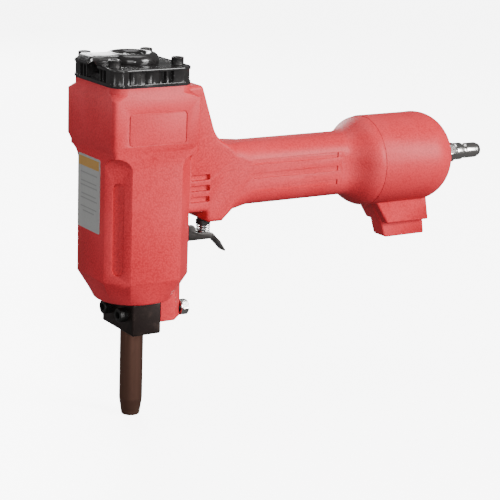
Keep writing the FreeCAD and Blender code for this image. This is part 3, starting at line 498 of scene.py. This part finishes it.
@dataclass
class Wardrobe:
    """Gives every CAD node its finish."""

    finishes: dict[str, Finish] = field(default_factory=lambda: {
        "housing": RED, "end_cap": RED, "end_cap_oring": SEAL_BLACK, "air_plug": PLATE_BRIGHT,
        "cylinder_cap": CAP_BLACK, "cap_gasket": SEAL_BLACK, "cap_screws": SCREW_BLACK, "exhaust_hood": CAP_BLACK,
        "hood_screw": SCREW_BLACK, "nose_block": BLOCK_BLACK, "nose_tube": TUBE_BROWN, "nose_screws": SCREW_BLACK,
        "nose_nuts": PLATE_BRIGHT, "nose_washers": PLATE_BRIGHT, "cylinder_sleeve": ALLOY,
        "sleeve_oring": SEAL_BLACK, "check_band": SEAL_BLACK, "piston": ALLOY, "piston_oring": SEAL_BLACK,
        "driver_rod": TOOL_STEEL, "driver_nut": PLATE_BRIGHT, "bumper": BUMPER_AMBER, "head_valve": VALVE_BLACK,
        "head_valve_seal": SEAL_BLACK, "head_valve_oring": SEAL_BLACK, "head_valve_spring": SPRING_BRIGHT,
        "trigger_lever": TRIGGER_GREY, "trigger_pin": PLATE_BRIGHT, "trigger_spring": SPRING_BRIGHT,
        "valve_bushing": VALVE_BLACK, "valve_stem": TOOL_STEEL, "valve_oring": SEAL_BLACK, "blank_label": LABEL,
    })
    made: dict[str, bpy.types.Material] = field(default_factory=dict)

    def material(self, finish: Finish) -> bpy.types.Material:
        """Makes the finish's material once and gives it each time.

        Args:
            finish: The finish to look up.

        Returns:
            Its material.
        """
        if finish.name not in self.made:
            self.made[finish.name] = finish.make()
        return self.made[finish.name]

    def dress(self) -> None:
        """Puts a finish on every CAD node."""
        for node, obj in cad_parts.items():
            obj.data.materials.clear()
            obj.data.materials.append(self.material(self.finishes[node]))
            LOG.info("dressed %s in %s", node, self.finishes[node].name)


# ---------------------------------------------------------------- studio


@dataclass
class Studio:
    """Camera, floor and lights."""

    place: tuple[float, float, float] = (-0.55103, -1.02114, 0.42559)
    right: tuple[float, float, float] = (0.84863, -0.52783, 0.03487)
    ahead: tuple[float, float, float] = (0.51854, 0.81703, -0.25213)
    lens: float = 122.78

    def camera(self) -> None:
        """Sets the camera from its place, its right direction and the direction it looks in."""
        data = bpy.data.cameras.new("camera")
        data.lens = self.lens
        data.sensor_width = 36.0
        camera = bpy.data.objects.new("camera", data)
        bpy.context.scene.collection.objects.link(camera)
        back = -Vector(self.ahead).normalized()
        right = Vector(self.right).normalized()
        up = back.cross(right).normalized()
        camera.matrix_world = Matrix.Translation(self.place) @ Matrix((right, up, back)).transposed().to_4x4()
        bpy.context.scene.camera = camera

    def floor(self) -> None:
        """Pale floor that curves up into a wall: a profile of a flat, an arc and a wall, carried sideways."""
        turn = np.linspace(0.0, math.pi / 2.0, 24)
        reach = 2.4
        rise = 1.4
        along = np.concatenate([[-4.0], reach + rise * np.sin(turn), [reach + rise]])
        height = np.concatenate([[0.0], rise * (1.0 - np.cos(turn)), [6.0]]) - 0.0004
        across = np.linspace(-7.0, 7.0, 15)
        look = np.array([self.ahead[0], self.ahead[1]]) / math.hypot(self.ahead[0], self.ahead[1])
        side = np.array([look[1], -look[0]])
        grid = np.empty((len(along), len(across), 3))
        grid[..., 0] = along[:, None] * look[0] + across[None, :] * side[0]
        grid[..., 1] = along[:, None] * look[1] + across[None, :] * side[1]
        grid[..., 2] = height[:, None]
        obj = mesh_object("floor", grid, grid_faces(len(along), len(across), False, False))
        graph = Graph("floor_pale")
        drift = graph.noise(0.4, 2.0)
        graph.set(
            Base_Color=graph.blend(drift, (0.88, 0.88, 0.88), (0.91, 0.91, 0.91)),
            Roughness=0.30 + drift * 0.05,
        )
        graph.set(Emission_Color=(1.0, 1.0, 1.0), Emission_Strength=6.5)
        obj.data.materials.append(graph.material)
        obj.visible_diffuse = False
        obj.visible_glossy = False

    def light(self, name: str, place: Triple, aim: Triple, size: tuple[float, float], power: float) -> None:
        """Adds one soft area light.

        Args:
            name: Its name.
            place: Where it stands, in metres.
            aim: What it points at.
            size: Width and height in metres.
            power: Watts.
        """
        data = bpy.data.lights.new(name, "AREA")
        data.shape = "RECTANGLE"
        data.size, data.size_y = size
        data.energy = power
        obj = bpy.data.objects.new(name, data)
        bpy.context.scene.collection.objects.link(obj)
        obj.location = place
        obj.rotation_mode = "QUATERNION"
        obj.rotation_quaternion = (Vector(aim) - Vector(place)).to_track_quat("-Z", "Y")

    def world(self) -> None:
        """Even white surround."""
        world = bpy.data.worlds.new("surround")
        world.use_nodes = True
        back = world.node_tree.nodes["Background"]
        back.inputs["Color"].default_value = (1.0, 1.0, 1.0, 1.0)
        back.inputs["Strength"].default_value = 0.16
        bpy.context.scene.world = world

    def build(self) -> None:
        """Makes the whole studio."""
        self.camera()
        self.floor()
        self.world()
        self.light("key", (1.0, -1.5, 0.75), (0.08, 0.0, 0.15), (0.8, 0.8), 68.0)
        self.light("top", (0.15, 0.1, 1.5), (0.1, 0.0, 0.1), (0.9, 0.9), 10.0)
        self.light("strip", (-0.9, 0.9, 0.9), (0.0, 0.0, 0.2), (0.3, 1.2), 6.0)
        self.light("fill", (-1.0, -1.5, 0.6), (0.0, 0.0, 0.15), (0.8, 0.8), 11.0)
        self.light("card", (-1.5, -0.15, 0.35), (0.0, 0.0, 0.14), (0.35, 0.6), 3.0)
        self.light("slat", (-0.27, -1.05, 0.18), (0.0, 0.0, 0.05), (0.07, 0.34), 2.0)
        self.light("back", (0.4, 1.7, 0.8), (0.1, 0.0, 0.15), (0.8, 0.8), 22.0)
        LOG.info("studio set")


# ---------------------------------------------------------------- meshes


def mesh_object(name: str, points: np.ndarray, faces: np.ndarray, crease: float = 0.6) -> bpy.types.Object:
    """Puts arrays into a mesh object, welds seams and poles, and turns the faces outwards.

    Args:
        name: Object name.
        points: (n, 3) positions in metres.
        faces: (m, 4) corner numbers.
        crease: Angle in radians past which an edge stays sharp.

    Returns:
        The linked object at the origin.
    """
    mesh = bpy.data.meshes.new(name)
    mesh.from_pydata(points.reshape(-1, 3).tolist(), [], faces.tolist())
    work = bmesh.new()
    work.from_mesh(mesh)
    bmesh.ops.remove_doubles(work, verts=work.verts, dist=WELD)
    bmesh.ops.recalc_face_normals(work, faces=work.faces)
    work.to_mesh(mesh)
    work.free()
    mesh.polygons.foreach_set("use_smooth", np.ones(len(mesh.polygons), dtype=bool))
    mesh.set_sharp_from_angle(angle=crease)
    mesh.update()
    obj = bpy.data.objects.new(name, mesh)
    bpy.context.scene.collection.objects.link(obj)
    return obj


def grid_faces(rows: int, columns: int, close_u: bool, close_v: bool) -> np.ndarray:
    """Quads that join each grid point to its next neighbours along both parameters.

    Args:
        rows: Number of rows.
        columns: Number of columns.
        close_u: Whether the last row joins the first.
        close_v: Whether the last column joins the first.

    Returns:
        (n, 4) corner numbers.
    """
    index = np.arange(rows * columns).reshape(rows, columns)
    if close_u:
        index = np.vstack([index, index[:1]])
    if close_v:
        index = np.hstack([index, index[:, :1]])
    return np.stack([index[:-1, :-1], index[:-1, 1:], index[1:, 1:], index[1:, :-1]], -1).reshape(-1, 4)


def joined(name: str, grids: Sequence[np.ndarray], close_u: bool, crease: float = 0.6) -> bpy.types.Object:
    """One object of several like grids, each closed round its second parameter.

    Args:
        name: Object name.
        grids: (rows, columns, 3) arrays of one shape.
        close_u: Whether each grid's last row joins its first.
        crease: Angle past which an edge stays sharp.

    Returns:
        The linked object.
    """
    rows, columns = grids[0].shape[:2]
    faces = grid_faces(rows, columns, close_u, True)
    shift = np.arange(len(grids))[:, None, None] * rows * columns
    return mesh_object(name, np.concatenate([g.reshape(-1, 3) for g in grids]), (faces + shift).reshape(-1, 4), crease)


# Half width across flats, in millimetres, that leaves a turned form round
ROUND = 1000.0
# Share of a turn that lies nearly flat at each end of a coil, and its rise in wire radii
END_TURN = 0.66
END_RISE = 1.2
# Points along one turn of a coil, and round its wire
TURN_POINTS = 40
WIRE_POINTS = 14
# Points round a screw, and ridges of its knurl
SCREW_POINTS = 144
KNURL_RIDGES = 36
# Distance in metres under which corners are one
WELD = 1e-7


class Heading(Enum):
    """Direction in which a turned piece's axis points, as three unit vectors: across, side and along."""

    UP = ((1, 0, 0), (0, 1, 0), (0, 0, 1))
    REAR = ((0, 0, 1), (0, -1, 0), (1, 0, 0))
    FRONT = ((0, 0, 1), (0, 1, 0), (-1, 0, 0))


def softened(profile: Sequence[Sequence[float]], radius: float, steps: int = 4) -> np.ndarray:
    """Rounds a profile: each inner corner becomes the quadratic curve between two points on its sides.

    The two points lie a radius away from the corner, or 0.45 of the side if that is nearer.

    Args:
        profile: Rows whose first two columns are height and radius.
        radius: Reach of the rounding.
        steps: Points on each curve.

    Returns:
        The rounded rows.
    """
    rows = np.asarray(profile, dtype=float)
    before, here, after = rows[:-2], rows[1:-1], rows[2:]

    def toward(other: np.ndarray) -> np.ndarray:
        """Points on the sides next to the corners."""
        length = np.hypot(other[:, 0] - here[:, 0], other[:, 1] - here[:, 1])
        return here + (other - here) * np.minimum(radius / np.maximum(length, 1e-9), 0.45)[:, None]

    t = np.linspace(0.0, 1.0, steps)[None, :, None]
    curve = (1 - t) ** 2 * toward(before)[:, None] + 2 * t * (1 - t) * here[:, None] + t**2 * toward(after)[:, None]
    return np.vstack([rows[:1], curve.reshape(-1, rows.shape[1]), rows[-1:]])


def turned(profile: np.ndarray, at: Triple, heading: Heading, count: int = 96, teeth: int = 0) -> np.ndarray:
    """Surface of a profile carried round an axis.

    A row holds height, radius, half width across flats and knurl depth, in millimetres. At angle a the radius is the
    smaller of the row's own and half width / cos(a folded into 30 degrees either way of a flat), which cuts a
    hexagon out of the round form, and the width ROUND leaves it round. A knurl of n teeth takes off
    depth * (1 + cos(n * a)) / 2.

    Args:
        profile: The rows.
        at: Point on the axis at height 0, in metres.
        heading: Direction of the axis.
        count: Points round the axis.
        teeth: Knurl ridges round the piece.

    Returns:
        (rows, count, 3) positions in metres.
    """
    height, radius, flats, knurl = [profile[:, i, None] for i in range(4)]
    angle = np.arange(count)[None, :] * TAU / count
    folded = np.mod(angle + math.pi / 6.0, math.pi / 3.0) - math.pi / 6.0
    reach = np.minimum(radius, flats / np.cos(folded)) - knurl * (1.0 + np.cos(teeth * angle)) / 2.0
    across, side, along = [np.array(v, dtype=float) for v in heading.value]
    around = np.cos(angle)[..., None] * across + np.sin(angle)[..., None] * side
    return np.array(at) + MM * (reach[..., None] * around + height[..., None] * along)


def plain(pairs: Sequence[tuple[float, float]]) -> list[tuple[float, float, float, float]]:
    """Rows of a round, smooth profile from (height, radius) pairs in millimetres."""
    return [(height, radius, ROUND, 0.0) for height, radius in pairs]


def coil_grid(mean: float, wire: float, low: float, high: float, turns: float, x: float) -> np.ndarray:
    """Tube along a helix whose end turns lie nearly flat.

    The centre line is (mean cos t, mean sin t, z). z climbs END_RISE wire radii over END_TURN of a turn at each end,
    and evenly in between. A circle of the wire's radius stands across the line, and shrinks to a point at the ends.

    Args:
        mean: Radius of the helix in millimetres.
        wire: Radius of the wire.
        low: Lowest point.
        high: Highest point.
        turns: Number of turns.
        x: Place of the axis along X.

    Returns:
        (stations, WIRE_POINTS, 3) positions in metres.
    """
    stations = int(turns * TURN_POINTS)
    share = np.concatenate([[0.0], np.linspace(0.0, 1.0, stations), [1.0]])
    swell = np.concatenate([[0.0], np.ones(stations), [0.0]])
    t = share * turns * TAU
    closed = END_TURN / turns
    climb = np.clip((share - closed) / (1.0 - 2.0 * closed), 0.0, 1.0)
    ends = np.clip(share / closed, 0.0, 1.0) + np.clip((share - 1.0 + closed) / closed, 0.0, 1.0)
    z = low + wire + (high - low - 2.0 * wire - 2.0 * END_RISE * wire) * climb + END_RISE * wire * ends
    centre = np.stack([mean * np.cos(t), mean * np.sin(t), z], -1)
    outward = np.stack([np.cos(t), np.sin(t), np.zeros_like(t)], -1)
    ring = np.arange(WIRE_POINTS) * TAU / WIRE_POINTS
    circle = outward[:, None] * np.cos(ring)[None, :, None] + np.array([0.0, 0.0, 1.0]) * np.sin(ring)[None, :, None]
    return MM * (centre[:, None] + wire * swell[:, None, None] * circle + np.array([x, 0.0, 0.0]))


def eased(node: str, name: str, width: float, segments: int = 3) -> bpy.types.Object:
    """Copy of a CAD node with its corners merged, its flats joined and its sharp edges rounded.

    Args:
        node: The CAD node.
        name: Name of the copy.
        width: Width of the rounding in metres.
        segments: Steps across each rounding.

    Returns:
        The linked object.
    """
    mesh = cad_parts[node].data.copy()
    mesh.name = name
    work = bmesh.new()
    work.from_mesh(mesh)
    bmesh.ops.remove_doubles(work, verts=work.verts, dist=WELD)
    bmesh.ops.dissolve_limit(work, angle_limit=math.radians(0.6), verts=work.verts, edges=work.edges)
    work.to_mesh(mesh)
    work.free()
    mesh.polygons.foreach_set("use_smooth", np.ones(len(mesh.polygons), dtype=bool))
    obj = bpy.data.objects.new(name, mesh)
    bpy.context.scene.collection.objects.link(obj)
    rounding = obj.modifiers.new("rounding", "BEVEL")
    rounding.width = width
    rounding.segments = segments
    rounding.limit_method = "ANGLE"
    rounding.angle_limit = math.radians(35.0)
    rounding.harden_normals = True
    return obj


# ---------------------------------------------------------------- sub-assemblies


@dataclass
class SubAssembly:
    """A group of pieces that share a wardrobe."""

    wardrobe: "Wardrobe"

    def finish(self, obj: bpy.types.Object, nodes: Sequence[str], slot: str, finish: Finish, body: str) -> None:
        """Dresses a piece, hides the CAD nodes that it stands for, parents it to the body it rides on, and reports it.

        Args:
            obj: The piece.
            nodes: CAD nodes that it stands for.
            slot: Not used.
            finish: Its finish.
            body: The body it rides on.
        """
        obj.data.materials.clear()
        obj.data.materials.append(self.wardrobe.material(finish))
        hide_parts(*nodes)
        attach(obj, body)
        LOG.info("made %s for %s on %s, %d faces", obj.name, ", ".join(nodes), body, len(obj.data.polygons))


@dataclass
class Fasteners(SubAssembly):
    """Screws, nuts and washers.

    Attributes:
        cap_top: Height of the cap's seat in millimetres.
        cap_places: X of the cap's front and rear screws.
        cap_side: Y of the cap's screws, either side.
        nose_height: Height of the nose screws.
        nose_side: Y of the nose screws, either side.
        nose_seat: X of the nose block's front face.
        nose_end: X where the nose screws end.
        nut_seat: X where the washers begin.
        washer: Thickness of a washer.
        cover_x: X of the exhaust cover's screw.
        cover_floor: Height of its seat.
        cover_end: Height of its tip.
    """

    cap_top: float = 254.2
    cap_places: tuple[float, float] = (-28.5, 19.4)
    cap_side: float = 22.2
    nose_height: float = 78.4
    nose_side: float = 11.6
    nose_seat: float = -11.8
    nose_end: float = 38.4
    nut_seat: float = 30.8
    washer: float = 1.2
    cover_x: float = -3.8
    cover_floor: float = 257.4
    cover_end: float = 251.8

    def socket_screw(self, head: float, rise: float, flats: float, shank: float, length: float) -> np.ndarray:
        """Rows of a socket cap screw from its tip to the bottom of its socket; height 0 is its seat.

        Args:
            head: Radius of the head.
            rise: Height of the head.
            flats: Width of the hexagon socket across flats.
            shank: Radius of the shank.
            length: Length below the seat.

        Returns:
            The profile rows.
        """
        depth = rise * 0.45
        ridge = 0.03 * head
        half = flats / 2.0
        corner = half * 1.2
        return np.array([
            (-length, 0.0, ROUND, 0.0), (-length, shank - 0.5, ROUND, 0.0), (-length + 0.5, shank, ROUND, 0.0),
            (0.0, shank, ROUND, 0.0), (0.0, head - 0.25, ROUND, 0.0), (0.2, head, ROUND, 0.0),
            (0.45, head, ROUND, ridge),
            (rise - 1.0, head, ROUND, ridge), (rise - 0.75, head, ROUND, 0.0), (rise - 0.45, head - 0.06, ROUND, 0.0),
            (rise - 0.14, head - 0.32, ROUND, 0.0), (rise, head - 0.72, ROUND, 0.0), (rise, corner + 0.18, ROUND, 0.0),
            (rise - 0.04, corner + 0.08, ROUND, 0.0), (rise - 0.2, corner, half, 0.0), (depth, corner, half, 0.0),
            (depth, half * 0.8, ROUND, 0.0), (depth - 0.5, 0.0, ROUND, 0.0),
        ])

    def cap_screws(self) -> None:
        """Four screws at the corners of the cap."""
        rows = self.socket_screw(head=4.35, rise=5.4, flats=4.0, shank=2.5, length=32.2)
        grids = [
            turned(rows, (x * MM, side * self.cap_side * MM, self.cap_top * MM), Heading.UP,
                   SCREW_POINTS, KNURL_RIDGES)
            for x in self.cap_places for side in (-1, 1)
        ]
        self.finish(joined("cap_socket_screws", grids, False), ["cap_screws"], "black_screw", SCREW_BLACK, "tool")

    def nose_screws(self) -> None:
        """Two screws through the nose block."""
        rows = self.socket_screw(head=5.0, rise=6.0, flats=5.0, shank=3.0, length=self.nose_end - self.nose_seat)
        grids = [
            turned(rows, (self.nose_seat * MM, side * self.nose_side * MM, self.nose_height * MM), Heading.FRONT,
                   SCREW_POINTS, KNURL_RIDGES)
            for side in (-1, 1)
        ]
        self.finish(joined("nose_socket_screws", grids, False), ["nose_screws"], "black_screw", SCREW_BLACK, "tool")

    def nuts(self) -> None:
        """Two hexagon nuts with crowned faces on both ends."""
        seat = self.nut_seat + self.washer
        crown = [(0.3, 3.02, ROUND, 0.0), (0.0, 3.3, ROUND, 0.0), (0.0, 4.9, 5.0, 0.0), (0.12, 5.15, 5.0, 0.0),
                 (0.35, 5.55, 5.0, 0.0), (0.62, 6.1, 5.0, 0.0)]
        rows = np.array(crown + [(5.2 - height, radius, flats, 0.0) for height, radius, flats, _ in crown[::-1]])
        grids = [
            turned(rows, (seat * MM, side * self.nose_side * MM, self.nose_height * MM), Heading.REAR, 96)
            for side in (-1, 1)
        ]
        self.finish(joined("nose_hex_nuts", grids, True, 0.45), ["nose_nuts"], "plated_steel", PLATE_BRIGHT, "tool")

    def washers(self) -> None:
        """Two plain washers with rounded rims."""
        ring = softened(plain([(0.6, 3.2), (0.0, 3.2), (0.0, 5.6), (self.washer, 5.6), (self.washer, 3.2),
                               (0.6, 3.2)]), 0.25)[:-1]
        grids = [
            turned(ring, (self.nut_seat * MM, side * self.nose_side * MM, self.nose_height * MM), Heading.REAR, 72)
            for side in (-1, 1)
        ]
        self.finish(joined("nose_plain_washers", grids, True), ["nose_washers"], "plated_steel", PLATE_BRIGHT, "tool")

    def cover_screw(self) -> None:
        """Low domed screw in the exhaust cover; the dome is a rounded profile with a small hexagon socket."""
        base = self.cover_end - self.cover_floor
        rows = softened([
            (base, 0.0, ROUND, 0.0), (base, 2.5, ROUND, 0.0), (0.0, 2.5, ROUND, 0.0), (0.0, 4.75, ROUND, 0.0),
            (0.6, 4.75, ROUND, 0.0), (1.4, 3.9, ROUND, 0.0), (1.9, 2.6, ROUND, 0.0), (1.9, 1.9, ROUND, 0.0),
            (1.7, 1.8, 1.5, 0.0), (0.8, 1.8, 1.5, 0.0), (0.7, 0.0, ROUND, 0.0),
        ], 0.15)
        grid = turned(rows, (self.cover_x * MM, 0.0, self.cover_floor * MM), Heading.UP, 96)
        self.finish(joined("cover_dome_screw", [grid], False), ["hood_screw"], "black_screw", SCREW_BLACK, "tool")

    def build(self) -> None:
        """Makes every fastener."""
        self.cap_screws()
        self.nose_screws()
        self.nuts()
        self.washers()
        self.cover_screw()


@dataclass
class AirInlet(SubAssembly):
    """Quick-connect plug at the rear.

    Attributes:
        height: Height of its axis in millimetres.
        pole: X of the end cap's face, where the hexagon begins.
    """

    height: float = 170.1
    pole: float = 270.9

    def build(self) -> None:
        """Turns the plug: thread, hexagon, collar, groove and nose round an open bore."""
        rows = softened(plain([(262.0, 3.5), (256.2, 3.5), (256.0, 6.0), (257.0, 6.6), (self.pole, 6.6)]), 0.2)
        hexagon = np.array([
            (self.pole, 7.0, 7.0, 0.0), (self.pole + 0.15, 7.25, 7.0, 0.0), (self.pole + 0.55, 7.7, 7.0, 0.0),
            (self.pole + 1.1, 8.4, 7.0, 0.0), (278.1, 8.4, 7.0, 0.0), (278.7, 7.7, 7.0, 0.0), (279.15, 7.25, 7.0, 0.0),
            (279.3, 7.0, 7.0, 0.0), (279.3, 6.0, ROUND, 0.0),
        ])
        nose = softened(plain([
            (279.3, 6.0), (280.2, 6.0), (281.2, 6.6), (287.4, 6.6), (288.2, 5.0), (290.2, 5.0), (291.2, 5.9),
            (301.6, 5.9), (304.9, 4.6), (304.9, 3.5), (262.0, 3.5),
        ]), 0.35)[:-1]
        grid = turned(np.vstack([rows, hexagon, nose[1:]]), (0.0, 0.0, self.height * MM), Heading.REAR, 96)
        self.finish(joined("quick_air_plug", [grid], True, 0.5), ["air_plug"], "plated_steel", PLATE_BRIGHT, "tool")


@dataclass
class NoseEnd(SubAssembly):
    """Nose tube and its clamp block.

    Attributes:
        bore: Radius of the nail bore in millimetres.
        outer: Radius of the tube.
        top: Height of the tube's upper end.
        guide: Radius of the driver guide.
    """

    bore: float = 5.0
    outer: float = 8.3
    top: float = 96.0
    guide: float = 3.55

    def build(self) -> None:
        """Turns the tube with rounded shoulders, and rounds the block's edges."""
        rows = softened(plain([
            (30.0, self.bore), (0.0, self.bore), (0.0, 6.3), (0.5, 6.6), (12.0, self.outer),
            (self.top - 0.6, self.outer),
            (self.top, self.outer - 0.6), (self.top, 4.1), (self.top - 0.8, self.guide), (60.0, self.guide),
            (60.0, self.bore), (30.0, self.bore),
        ]), 0.5)[:-1]
        grid = turned(rows, (0.0, 0.0, 0.0), Heading.UP, 128)
        self.finish(joined("nose_tube_turned", [grid], True, 0.9), ["nose_tube"], "tube_steel", TUBE_BROWN, "tool")
        block = eased("nose_block", "nose_block_eased", 0.0005)
        self.finish(block, ["nose_block"], "blackened_steel", BLOCK_BLACK, "tool")


@dataclass
class Casting(SubAssembly):
    """Red cast body and its end cap.

    Attributes:
        body_edge: Width of the body's rounded edges in metres.
        cap_edge: Width of the end cap's rounded edges in metres.
    """

    body_edge: float = 0.0007
    cap_edge: float = 0.0004

    def build(self) -> None:
        """Rounds the edges that the casting leaves sharp."""
        self.finish(eased("housing", "housing_eased", self.body_edge), ["housing"], "red_casting", RED, "tool")
        self.finish(eased("end_cap", "end_cap_eased", self.cap_edge), ["end_cap"], "red_casting", RED, "tool")


@dataclass
class Top(SubAssembly):
    """Cap over the cylinder and its exhaust cover.

    Attributes:
        cap_edge: Width of the cap's rounded edges in metres.
        cover_edge: Width of the cover's rounded edges in metres.
    """

    cap_edge: float = 0.00045
    cover_edge: float = 0.0003

    def build(self) -> None:
        """Rounds the edges of both mouldings."""
        self.finish(eased("cylinder_cap", "cylinder_cap_eased", self.cap_edge), ["cylinder_cap"], "black_cap",
                    CAP_BLACK, "tool")
        self.finish(eased("exhaust_hood", "exhaust_cover_eased", self.cover_edge), ["exhaust_hood"], "black_cap",
                    CAP_BLACK, "tool")


@dataclass
class TriggerGroup(SubAssembly):
    """Trigger lever and its return spring.

    Attributes:
        stem_x: X of the valve stem in millimetres.
        seat: Height of the trigger's floor, where the spring stands.
        ceiling: Height of the bushing's lower face.
        lift: How far the floor rises at the far side of the spring when the trigger is pulled, in millimetres. Not
            used.
    """

    stem_x: float = 56.3
    seat: float = 127.0
    ceiling: float = 134.6
    lift: float = 3.35

    def build(self) -> None:
        """Rounds the sheet's edges and winds the spring."""
        self.finish(eased("trigger_lever", "trigger_lever_eased", 0.0003), ["trigger_lever"], "trigger_steel",
                    TRIGGER_GREY, "trigger")
        grid = coil_grid(4.7, 0.45, self.seat + 0.1, self.ceiling - 0.1, turns=4.4, x=self.stem_x)
        spring = joined("trigger_return_spring", [grid], False)
        self.finish(spring, ["trigger_spring"], "spring_steel", SPRING_BRIGHT, "tool")
        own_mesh(spring)


@dataclass
class ValveGroup(SubAssembly):
    """Spring over the head valve.

    Attributes:
        low: Height of the valve disc's top in millimetres.
        high: Height of the pocket's ceiling.
        lift: Travel of the head valve. Not used.
    """

    low: float = 229.0
    high: float = 240.0
    lift: float = 4.0

    def build(self) -> None:
        """Winds the spring."""
        grid = coil_grid(15.0, 0.9, self.low + 0.1, self.high - 0.1, turns=3.25, x=0.0)
        spring = joined("head_valve_coil", [grid], False)
        self.finish(spring, ["head_valve_spring"], "spring_steel", SPRING_BRIGHT, "tool")
        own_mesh(spring)


def main() -> None:
    """Builds the pieces in order and reports each one."""
    logging.basicConfig(level=logging.INFO, format="%(name)s: %(message)s")
    wardrobe = Wardrobe()
    wardrobe.dress()
    for group in (Casting, Fasteners, AirInlet, NoseEnd, Top, TriggerGroup, ValveGroup):
        group(wardrobe).build()
    Studio().build()


if __name__ == "__main__":
    main()
